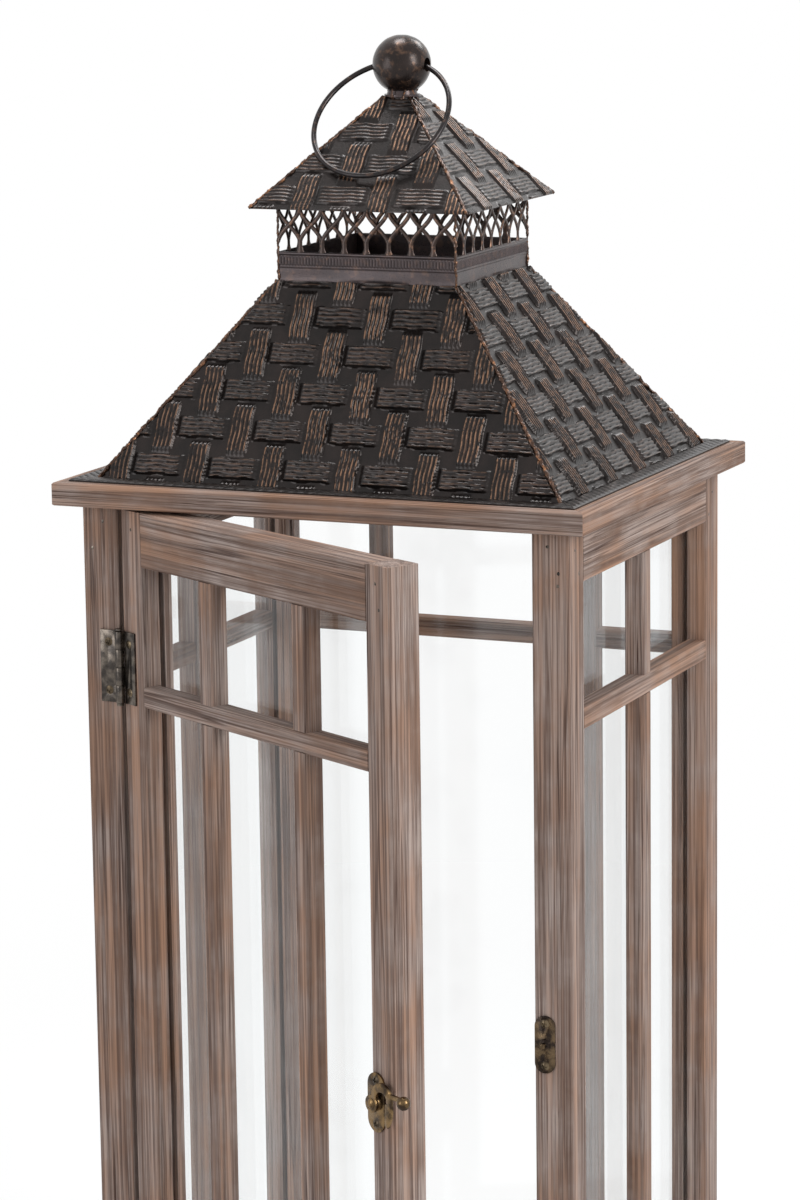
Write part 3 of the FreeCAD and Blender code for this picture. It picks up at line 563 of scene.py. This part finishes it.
def pressed_sheet(name, node, angle, foot, across, seed, top, z0, z1, height, spacing, flange):
    sheets = [slope_sheet(foot, across, top, z0, z1, height, spacing, seed)]
    if flange:
        sheets.append(flange_sheet(foot, across, z0, flange))
    verts, faces = gather([mesh for mesh, _, _ in sheets])
    values = {"relief": np.concatenate([padded(crest, mesh) for mesh, crest, _ in sheets]),
              "warp": np.concatenate([padded(warp, mesh) for mesh, _, warp in sheets])}
    make(name, rotated(verts, angle), faces, SHEET_METAL, replaces=(node,), values=values)


for k, (side, angle) in enumerate(SIDES):
    foot, across = (FOOT_Y, FOOT_X) if k % 2 == 0 else (FOOT_X, FOOT_Y)
    pressed_sheet("roof_weave_" + side, "roof_" + side, angle, foot, across, k + 1, **ROOF)
    pressed_sheet("cap_weave_" + side, "cap_" + side, angle, EAVE, EAVE, k + 5, **CAP)


# %% [markdown]
# ## Seams
# The sheets are brazed together at the hips, which leaves a rough bead of copper on each.
# A straight rod would look machined. This one wanders a little, swells and shrinks, and
# its surface is pushed in and out by small random steps.

# %% Rods and random lines
ROUGHNESS = 0.16            # of a rough rod's radius


def wander(count, width, seed):
    """Even noise along a line, between about -1 and 1."""
    raw = np.random.default_rng(seed).normal(size=count + 2 * width)
    kernel = np.hanning(width + 2)[1:-1]
    line = np.convolve(raw, kernel / kernel.sum(), "same")[width:width + count]
    return line / (np.abs(line).max() + 1e-9)


def tube(path, radius, segments=10, flat=1.0, seed=None):
    """A round or flattened rod along a path. radius may vary along it."""
    path = np.asarray(path, float)
    n = len(path)
    radius = np.broadcast_to(radius, (n,))
    tangent = np.gradient(path, axis=0)
    tangent /= np.linalg.norm(tangent, axis=1)[:, None]
    away = np.array([0.0, -1.0, 0.0]) if abs(tangent[:, 1]).max() < 0.9 else UP
    side = np.cross(tangent, away)
    side /= np.linalg.norm(side, axis=1)[:, None]
    out = np.cross(side, tangent)
    angle = np.linspace(0, 2 * np.pi, segments, endpoint=False)[None, :, None]
    spoke = np.cos(angle) * side[:, None] + flat * np.sin(angle) * out[:, None]
    verts = path[:, None] + radius[:, None, None] * spoke
    if seed is not None:
        bumps = np.random.default_rng(seed).normal(size=(n, segments, 1)) * ROUGHNESS
        verts = verts + (verts - path[:, None]) * bumps
    faces = grid_faces(n, segments, wrap=True)
    faces.append(list(range(segments)))
    faces.append([(n - 1) * segments + k for k in range(segments)])
    return verts.reshape(-1, 3), faces


print("a rod of 5 points has", len(tube(np.outer(range(5), UP), 1.0)[1]), "faces")


# %% Seams
SEAM_STRAY = 0.45
CROWN = ROOF_TOP + 0.3      # where a hip seam ends, just outside the sheets


def seam(start, end, radius, seed, steps):
    start, end = np.array(start), np.array(end)
    t = np.linspace(0, 1, steps)[:, None]
    path = start + (end - start) * t
    path = path + np.stack([wander(steps, 5, seed + k) for k in range(3)], axis=1) * SEAM_STRAY
    thick = radius * (1 + 0.35 * wander(steps, 3, seed + 9))
    return tube(path, thick, 8, 1.0, seed)


hips = []
for k, (sx, sy) in enumerate(CORNERS):
    hips.append(seam((sx * FOOT_X, sy * FOOT_Y, Z_ROOF + 1.0), (sx * CROWN, sy * CROWN, Z_BAND - 0.6),
                     1.15, 20 + k, 190))
    hips.append(seam((sx * EAVE, sy * EAVE, Z_EAVE + 0.4), (sx * CAP_TOP, sy * CAP_TOP, Z_CAP + 0.2),
                     0.95, 40 + k, 110))
    hips.append(seam((sx * BAND, sy * BAND, Z_BAND), (sx * BAND, sy * BAND, Z_BEAD + 25),
                     0.75, 60 + k, 70))
verts, faces = gather(hips)
make("hip_seams", verts, faces, SEAM_METAL)


# %% [markdown]
# ## The vent band
# Below is a plain strip with a row of tiny scallops under a bead. Above it, straps rise
# from flared legs, cross half-way and meet again over the next leg. The strip is another
# sheet of worked-out heights. The straps are flattened rods, because real pierced metal
# has soft, rounded edges that a cut-out sheet would not show.

# %% Plain strip
STRIP_ROWS, STRIP_COLS = 46, 449
LEDGE, SCALLOP_TOP, BEAD_MID = 750.6, 756.6, 758.0


def band_strip():
    x = np.linspace(-BAND, BAND, STRIP_COLS)[None, :] * np.ones((STRIP_ROWS, 1))
    z = np.linspace(Z_BAND, Z_BEAD, STRIP_ROWS)[:, None] * np.ones((1, STRIP_COLS))
    scallop = np.abs(np.sin(x * math.pi / 2.0)) * smooth((z - LEDGE) / 1.2) * smooth((SCALLOP_TOP - z) / 0.8)
    bead = np.sqrt(np.clip(1 - ((z - BEAD_MID) / 1.0) ** 2, 0, 1))
    ledge = smooth((z - 749.4) / 0.6) * smooth((LEDGE - z) / 0.5)
    dent = 0.25 * np.sin(x * 0.07 + 1) * smooth((750 - z) / 6) * smooth((z - Z_BAND) / 2)
    out = 0.55 * scallop + 0.75 * bead + 0.35 * ledge + dent
    out = out * smooth((BAND - np.abs(x)) / 0.8)
    face = np.stack([x, -BAND - out, z], axis=-1)
    back = np.stack([x * (BAND - SHEET) / BAND, np.full_like(x, -BAND + SHEET), z], axis=-1)
    return closed_sheet(face, back)


def four_times(piece):
    """A piece of the front, repeated on all four sides."""
    verts, faces = piece
    return gather([(rotated(verts, angle), faces) for _, angle in SIDES])


verts, faces = four_times(band_strip())
make("vent_band_strip", verts, faces, PLAIN_METAL, replaces=("vent_band",))

# %% Lattice
ARCHES, LEG_HEIGHT = 8, 9.0
LEG_R, LEG_FLARE, STRAP_R = 1.45, 1.1, 1.3
STRAP_FOOT, STRAP_TOP = Z_BEAD + 5.6, Z_BEAD + 25.2
STRAP_DEPTHS = (0.30, 0.55)    # behind the band's face, so that one strap passes the other


def strap_path(x0, x1, depth, steps=18):
    """A strap from one leg to the next, steep at its ends and slanting where it crosses."""
    t = np.linspace(0, 1, steps)
    ease = 0.5 - 0.5 * np.cos(np.pi * t)
    ease = 0.75 * ease + 0.25 * t
    z = STRAP_FOOT + (STRAP_TOP - STRAP_FOOT) * t
    return np.stack([x0 + (x1 - x0) * ease, np.full(steps, depth), z], axis=1)


def lattice_side():
    pitch = 2 * BAND / ARCHES
    parts = []
    for k in range(ARCHES + 1):
        x = -BAND + k * pitch
        leg = np.linspace(0, 1, 9)[:, None]
        path = np.array([x, -BAND + 0.45, Z_BEAD - 0.8]) + leg * UP * LEG_HEIGHT
        wide = LEG_R + LEG_FLARE * (1 - smooth(leg[:, 0] / 0.4))
        if 0 < k < ARCHES:
            parts.append(tube(path, wide, 10, 0.42))
        if k < ARCHES:
            for ends, depth in zip(((x, x + pitch), (x + pitch, x)), STRAP_DEPTHS):
                parts.append(tube(strap_path(*ends, depth - BAND), STRAP_R, 10, 0.5))
    top = np.stack(np.meshgrid([-BAND, BAND], [Z_BEAD + 24.4, Z_BAND_TOP]), axis=-1)
    face = np.stack([top[..., 0], np.full((2, 2), -BAND), top[..., 1]], axis=-1)
    back = face * np.array([(BAND - SHEET) / BAND, (BAND - SHEET) / BAND, 1.0])
    parts.append(closed_sheet(face, back))
    return gather(parts)


verts, faces = four_times(lattice_side())
make("vent_band_lattice", verts, faces, LATTICE_METAL)


# %% [markdown]
# ## Ball
# The ball carries the ring in a hole that goes right through it. It could be a sphere with
# a hole cut out, but a profile that is turned about the hole's axis has clean edges and a
# smooth bore. Two low waves keep it from looking perfect.

# %% Ball
BALL_R, Z_BALL, RING_R, WIRE_R, RING_TURN = 17.2, 864.8, 42.0, 1.6, -4.0
HOLE_CLEAR, BORE_STEP = 0.65, 0.15        # hole to wire, and the bore inside the hole's edge
BALL_SEGMENTS, BALL_ROWS, BORE_ROWS = 128, 90, 8
turn = math.radians(RING_TURN)
axis = np.array([math.cos(turn), math.sin(turn), 0.0])
ahead = np.array([-math.sin(turn), math.cos(turn), 0.0])
sag = RING_R - math.sqrt(RING_R ** 2 - BALL_R ** 2)
hole = sag / 2 + WIRE_R + HOLE_CLEAR


def loop_faces(rows, cols):
    """Quads of a grid that closes both ways."""
    last = (rows - 1) * cols
    closing = [[last + k, last + (k + 1) % cols, (k + 1) % cols, k] for k in range(cols)]
    return grid_faces(rows, cols, wrap=True) + closing


def ball_profile():
    """Places along the axis and radii, over the outside and back through the bore."""
    edge = math.asin(hole / BALL_R)
    outside = [(BALL_R * math.cos(p), BALL_R * math.sin(p))
               for p in np.linspace(edge, math.pi - edge, BALL_ROWS)]
    end = outside[-1][0]
    bore = [(end * (1 - 2 * k / (BORE_ROWS + 1)), hole - BORE_STEP) for k in range(1, BORE_ROWS + 1)]
    return outside + bore


around = np.linspace(0, 2 * np.pi, BALL_SEGMENTS, endpoint=False)
rings = []
for along, r in ball_profile():
    ripple = 1 + 0.004 * np.sin(3 * around + along * 0.4) + 0.003 * np.sin(7 * around - along * 0.9)
    spoke = np.cos(around)[:, None] * ahead + np.sin(around)[:, None] * UP
    rings.append(axis * along + spoke * (r * ripple)[:, None])
verts = np.vstack(rings) + UP * Z_BALL
make("ball", verts, loop_faces(len(rings), BALL_SEGMENTS), BALL_METAL,
     replaces=("finial_ball",))

# %% [markdown]
# ## Ring
# The ring is a bent wire that hangs in the ball's hole and leans on the cap. A torus from
# the menu would be too even, so the wire's thickness varies by a few hundredths.

# %% Ring
RING_LEAN = 47.597          # degrees below level, where the wire meets the cap
RING_SEGMENTS, WIRE_SEGMENTS, WIRE_WEAR = 260, 20, 0.02
lean = math.radians(RING_LEAN)
down = -ahead * math.cos(lean) - UP * math.sin(lean)
centre = UP * Z_BALL + down * (RING_R - sag / 2)
normal = np.cross(axis, down)
verts = []
for p in np.linspace(0, 2 * np.pi, RING_SEGMENTS, endpoint=False):
    spoke = math.cos(p) * axis + math.sin(p) * down
    for q in np.linspace(0, 2 * np.pi, WIRE_SEGMENTS, endpoint=False):
        wire = WIRE_R * (1 - WIRE_WEAR * (1 + math.sin(9 * p + 2 * q)))
        verts.append(centre + spoke * (RING_R + wire * math.cos(q)) + normal * wire * math.sin(q))
make("ring", np.array(verts), loop_faces(RING_SEGMENTS, WIRE_SEGMENTS), RING_METAL,
     body="ring", replaces=("ring_handle",))

# %% [markdown]
# ## Tabs under the ball
# Little strips of the cap's sheet are bent up round the ball's seat. Each is a flattened
# rod along a short curling path.

# %% Seat tabs
TAB_ANGLES = (-100, -62, -15, 30, 100, 165)
TAB_OUT, TAB_HEIGHT, TAB_R = 9.2, 7.0, 0.75


def seat_tab(k, degrees):
    bend = math.radians(degrees)
    out = np.array([math.cos(bend), math.sin(bend), 0.0])
    t = np.linspace(0, 1, 14)[:, None]
    curl = TAB_OUT + 1.6 * np.sin(t * 3.0 + k) + t * 0.4
    path = out * curl + UP * (Z_CAP - 2.2 + t * TAB_HEIGHT)
    path = path + np.cross(UP, out) * (t - 0.5) * 3.0 * math.sin(k * 2.1)
    return tube(path, TAB_R + 0.25 * np.sin(t[:, 0] * 6 + k), 8, 0.7, 80 + k)


verts, faces = gather([seat_tab(k, degrees) for k, degrees in enumerate(TAB_ANGLES)])
make("seat_tabs", verts, faces, SEAM_METAL)


# %% [markdown]
# ## Screws
# Each screw has a low dome with a cross recess. A recess could be cut out of each solid,
# but a new head is quicker and cleaner: rings of points whose heights drop in the cross.
# Their places come from the solids, which are taken apart into separate islands.

# %% One screw
HEAD_R, HEAD_DOME, SHANK_R, SCREW_LENGTH = 2.6, 0.8, 1.3, 9.0
SLOT_HALF, SLOT_REACH, SLOT_DEPTH = 0.34, 1.5, 0.45
HEAD_ROWS, HEAD_SEGMENTS = 21, 64


def screw_mesh(centre, normal, twist):
    """A screw whose head lies on a plane at centre, turned about its axis by twist."""
    side = np.cross(normal, UP)
    side /= np.linalg.norm(side)
    side, high = (math.cos(twist) * side + math.sin(twist) * UP,
                  math.cos(twist) * UP - math.sin(twist) * side)
    angle = np.linspace(0, 2 * np.pi, HEAD_SEGMENTS, endpoint=False)
    verts = []
    for t in np.linspace(0.0, 1.0, HEAD_ROWS + 1)[1:]:
        x, y = HEAD_R * t * np.cos(angle), HEAD_R * t * np.sin(angle)
        slot_a = (np.abs(x) < SLOT_HALF) & (np.abs(y) < SLOT_REACH)
        slot_b = (np.abs(y) < SLOT_HALF) & (np.abs(x) < SLOT_REACH)
        lift = HEAD_DOME * (1 - t * t) - np.where(slot_a | slot_b, SLOT_DEPTH, 0.0)
        verts.append(centre + x[:, None] * side + y[:, None] * high + lift[:, None] * normal)
    for depth in (0.0, -SCREW_LENGTH):
        verts.append(centre + SHANK_R * (np.cos(angle)[:, None] * side + np.sin(angle)[:, None] * high)
                     + depth * normal)
    rows = len(verts)
    faces = grid_faces(rows, HEAD_SEGMENTS, wrap=True)
    verts = np.vstack(verts + [centre + (HEAD_DOME - SLOT_DEPTH) * normal])
    tip = len(verts) - 1
    faces += [[tip, k, (k + 1) % HEAD_SEGMENTS] for k in range(HEAD_SEGMENTS)]
    faces.append([(rows - 1) * HEAD_SEGMENTS + k for k in range(HEAD_SEGMENTS)])
    return verts, faces


print("a screw has", len(screw_mesh(np.zeros(3), np.array([0.0, -1.0, 0.0]), 0.0)[1]), "faces")


# %% All screws
def islands(node):
    """The points of each separate piece of a node, in millimetres."""
    bm = bmesh.new()
    bm.from_mesh(NODES[node].data)
    bmesh.ops.remove_doubles(bm, verts=bm.verts, dist=1e-6)
    reached, found = set(), []
    for v in bm.verts:
        if v.index in reached:
            continue
        stack, points = [v], []
        reached.add(v.index)
        while stack:
            here = stack.pop()
            points.append(np.array(here.co) / MM)
            for e in here.link_edges:
                other = e.other_vert(here)
                if other.index not in reached:
                    reached.add(other.index)
                    stack.append(other)
        found.append(np.array(points))
    bm.free()
    return found


def cut_screws(node, body, normal):
    """New screws where the node's own are, with the same seats."""
    n = np.array(normal, float)
    parts = []
    for k, points in enumerate(islands(node)):
        front = (points @ n).max()
        middle = (points.min(0) + points.max(0)) / 2
        seat = middle + n * (front - HEAD_DOME - middle @ n)
        parts.append(screw_mesh(seat, n, 0.4 + 1.3 * k))
    verts, faces = gather(parts)
    make(node + "_cut", verts, faces, SCREW, body=body, replaces=(node,))


POST_FACE = (0, -1, 0)
DOOR_FACE = (-math.sin(math.radians(DOOR_OPEN)), -math.cos(math.radians(DOOR_OPEN)), 0.0)
cut_screws("hinge_screws_post", "frame", POST_FACE)
cut_screws("strike_screws", "frame", POST_FACE)
cut_screws("hinge_screws_door", "door", DOOR_FACE)
cut_screws("latch_screws", "door", DOOR_FACE)


# %% [markdown]
# ## Softened hardware
# Pressed and cast pieces have no knife edges. A bevel modifier on the solids would change
# them, so copies take their places, with the sharp edges beveled and nothing else changed.

# %% Rounded copies
WELD, FLAT_ANGLE, EDGE_ANGLE = 1e-6, 1.0, 35      # metres and degrees


def soften(node, width, material, body):
    mesh = NODES[node].data.copy()
    mesh.name = node + "_round"
    mesh.materials.clear()
    mesh.materials.append(material)
    bm = bmesh.new()
    bm.from_mesh(mesh)
    bmesh.ops.remove_doubles(bm, verts=bm.verts, dist=WELD)
    bmesh.ops.dissolve_limit(bm, angle_limit=math.radians(FLAT_ANGLE), verts=bm.verts, edges=bm.edges)
    sharp = [e for e in bm.edges
             if len(e.link_faces) == 2 and e.calc_face_angle(0) > math.radians(EDGE_ANGLE)]
    bmesh.ops.bevel(bm, geom=sharp, offset=width * MM, segments=2, profile=0.5, affect="EDGES",
                    clamp_overlap=True)
    seal(bm, mesh, 40)
    stand(node + "_round", mesh, body, (node,))


soften("hinge_leaves_post", 0.2, HINGE, "frame")
soften("hinge_leaves_door", 0.2, HINGE, "door")
soften("hinge_pins", 0.25, HINGE, "frame")
soften("latch_plate", 0.25, BRASS, "door")
soften("latch_hook", 0.35, BRASS, "hook")
soften("strike_plate", 0.25, STRIKE, "frame")


# %% [markdown]
# ## Solids that stay
# Timber, panes and the ball's seat are right as they are and only need a finish. A piece's
# name tells what it is, and its box tells which way a board's grain runs.

# %% Materials of the solids that stay
def finish_of(node):
    if node.endswith("_glass"):
        return GLASS
    if node == "finial_seat":
        return PLAIN_METAL
    if node.startswith("door_"):
        return WOOD["DX" if node.split("_")[1] in ("rail", "bar") else "DZ"]
    if node.startswith("post_") or "upright" in node:
        return WOOD["Z"]
    low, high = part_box(node)
    return WOOD["X" if high.x - low.x > high.y - low.y else "Y"]


dressed = [node for node, obj in NODES.items() if not obj.hide_render]
for node in dressed:
    mesh = NODES[node].data
    mesh.materials.clear()
    mesh.materials.append(finish_of(node))
print("dressed solids:", len(dressed))


# %% [markdown]
# ## Nails
# Small dark heads pin the joints at the tops of posts and stiles. A dark spot in the
# shader would vanish at a glance, so each is a little sunk disc with an uneven rim.

# %% Nails
NAIL_R, NAIL_SEGMENTS = 0.8, 14
NAIL_RINGS = ((0.45, 0.10), (NAIL_R, 0.02), (NAIL_R, -1.5))     # radius and height


def nail(centre, normal, seed):
    n = np.array(normal, float)
    side = np.cross(n, UP)
    angle = np.linspace(0, 2 * np.pi, NAIL_SEGMENTS, endpoint=False)
    shape = 1 + 0.25 * wander(NAIL_SEGMENTS, 3, seed)
    spoke = np.cos(angle)[:, None] * side + 1.25 * np.sin(angle)[:, None] * UP
    verts = [centre + n * 0.12]
    for r, lift in NAIL_RINGS:
        verts += list(centre + (r * shape)[:, None] * spoke + lift * n)
    faces = [[0, 1 + k, 1 + (k + 1) % NAIL_SEGMENTS] for k in range(NAIL_SEGMENTS)]
    faces += grid_faces(len(NAIL_RINGS), NAIL_SEGMENTS, start=1, wrap=True)
    faces.append([1 + 2 * NAIL_SEGMENTS + k for k in range(NAIL_SEGMENTS)])
    return np.array(verts), faces


def on_door(x, z):
    """A point of the shut door's face, swung to where the door stands."""
    turn = -math.radians(DOOR_OPEN)
    dx, dy = x - HINGE_X, POST_FRONT - HINGE_Y
    return np.array([HINGE_X + dx * math.cos(turn) - dy * math.sin(turn),
                     HINGE_Y + dx * math.sin(turn) + dy * math.cos(turn), z])


FRONT_NAILS = ((139.0, 607.0), (145.5, 592.0), (145.0, 585.0), (-139.0, 606.0), (-146.0, 590.0))
RIGHT_NAILS = ((-118.0, 604.0), (-112.0, 590.0), (116.0, 601.0), (110.0, 588.0))
STILE_NAILS = ((117.0, 604.0), (120.0, 590.0), (-118.0, 603.0))
posts = [nail(np.array([x, POST_FRONT, z]), POST_FACE, int(abs(x) + z)) for x, z in FRONT_NAILS]
posts += [nail(np.array([POST_RIGHT, y, z]), (1, 0, 0), int(abs(y) + z)) for y, z in RIGHT_NAILS]
stile = [nail(on_door(x, z), DOOR_FACE, int(abs(x) + z)) for x, z in STILE_NAILS]
verts, faces = gather(posts)
make("nails_posts", verts, faces, HINGE)
verts, faces = gather(stile)
make("nails_door", verts, faces, HINGE, body="door")


# %% [markdown]
# ## Floor and world
# The photograph has a pure white ground, with plain daylight on the object. One strength
# can't do both. A Light Path node tells what the camera, shiny metal or glass sees, which
# is white, from what only lights the object, which is softer.

# %% Floor
FLOOR_R, FLOOR_SEGMENTS = 2.4, 96
WHITE = (1.0, 1.0, 1.0, 1.0)
NEAR_WHITE, FAR_WHITE = 0.55, 1.0         # share of pure white beside the object and far off


def seen(net):
    """1 for what the camera sees straight, in metal or through glass."""
    camera, glossy, through = [net.node("ShaderNodeLightPath", out=ray) for ray in
                               ("Is Camera Ray", "Is Glossy Ray", "Is Transmission Ray")]
    return camera.most(glossy).most(through)


def stage_object(name, data):
    obj = bpy.data.objects.new(name, data)
    bpy.context.scene.collection.objects.link(obj)
    return obj


net = material_net("floor")
matte = net.principled(Base_Color=(0.86, 0.86, 0.86, 1.0), Roughness=0.9, Specular_IOR_Level=0.1)
glow = net.node("ShaderNodeEmission", None, {"Color": WHITE, "Strength": 1.0})
away = net.node("ShaderNodeVectorMath", {"operation": "LENGTH"}, {0: net.place()}, out="Value")
share = NEAR_WHITE + (FAR_WHITE - NEAR_WHITE) * away.step(0.25, 1.5)
floor_material = net.finish(net.node("ShaderNodeMixShader", None,
                                     {0: seen(net) * share, 1: matte, 2: glow}))
mesh = bpy.data.meshes.new("floor")
span = np.linspace(0, 2 * math.pi, FLOOR_SEGMENTS, endpoint=False)
mesh.from_pydata([(FLOOR_R * math.cos(a), FLOOR_R * math.sin(a), 0.0) for a in span], [],
                 [list(range(FLOOR_SEGMENTS))])
mesh.materials.append(floor_material)
stage_object("floor", mesh)
print("floor:", FLOOR_R, "m in radius")

# %% World
world = bpy.data.worlds.new("studio")
bpy.context.scene.world = world
net = Net(world)
white = net.node("ShaderNodeBackground", None, {"Color": WHITE, "Strength": 1.0})
soft = net.node("ShaderNodeBackground", None, {"Color": (0.98, 0.99, 1.0, 1.0), "Strength": 0.5})
sky = net.node("ShaderNodeMixShader", None, {0: seen(net), 1: soft, 2: white})
net.finish(sky, "ShaderNodeOutputWorld")
print("world nodes:", len(net.tree.nodes))


# %% [markdown]
# ## Lamps
# In the photograph the right faces are the brighter ones, the front is softly filled, and
# the roof has narrow highlights on its ribs. Large lamps give the first two, and two small
# ones from above and behind give the third.

# %% Lamps
def lamp(name, at, to, size, power, colour=(1.0, 1.0, 1.0)):
    data = bpy.data.lights.new(name, "AREA")
    data.shape = "RECTANGLE"
    data.size, data.size_y = size
    data.energy = power
    data.color = colour
    obj = stage_object(name, data)
    obj.location = at
    obj.rotation_euler = (Vector(to) - Vector(at)).to_track_quat("-Z", "Y").to_euler()
    print(name, power, "W")


lamp("key_right", (2.2, -0.7, 1.6), (0, 0, 0.5), (0.9, 1.5), 46, (1.0, 0.99, 0.97))
lamp("fill_left", (-1.5, -2.1, 1.0), (0, 0, 0.5), (1.2, 1.6), 19, (0.97, 0.98, 1.0))
lamp("back_right", (0.6, 1.9, 2.4), (0, 0, 0.72), (0.8, 0.8), 20)
lamp("top", (-0.35, 0.3, 2.5), (0, 0, 0.65), (0.7, 0.7), 22)

# %% [markdown]
# ## Camera
# A camera could be aimed by eye, but then no edge would fall where it does in the
# photograph. Its place, its three axes and its lens were worked out from straight edges
# of the lantern, and are given as they came out.

# %% Camera
LENS, SENSOR = 187.0992, 36.0             # millimetres
CAMERA_AT = (0.9681789, -2.2516557, 1.0112054)
CAMERA_RIGHT = Vector((0.91873669, 0.39465226, -0.01313304))
CAMERA_DOWN = Vector((0.06185502, -0.17668555, -0.98232183))
CAMERA_AHEAD = Vector((-0.38999595, 0.90168276, -0.18673872))
camera_data = bpy.data.cameras.new("camera")
camera_data.sensor_fit = "HORIZONTAL"
camera_data.sensor_width = SENSOR
camera_data.lens = LENS
camera = bpy.data.objects.new("camera", camera_data)
turned = Matrix((CAMERA_RIGHT, -CAMERA_DOWN, -CAMERA_AHEAD)).transposed().to_4x4()
camera.matrix_world = Matrix.Translation(CAMERA_AT) @ turned
bpy.context.scene.collection.objects.link(camera)
bpy.context.scene.camera = camera
bpy.context.scene.view_settings.view_transform = "Standard"
print("camera:", LENS, "mm lens at", CAMERA_AT)
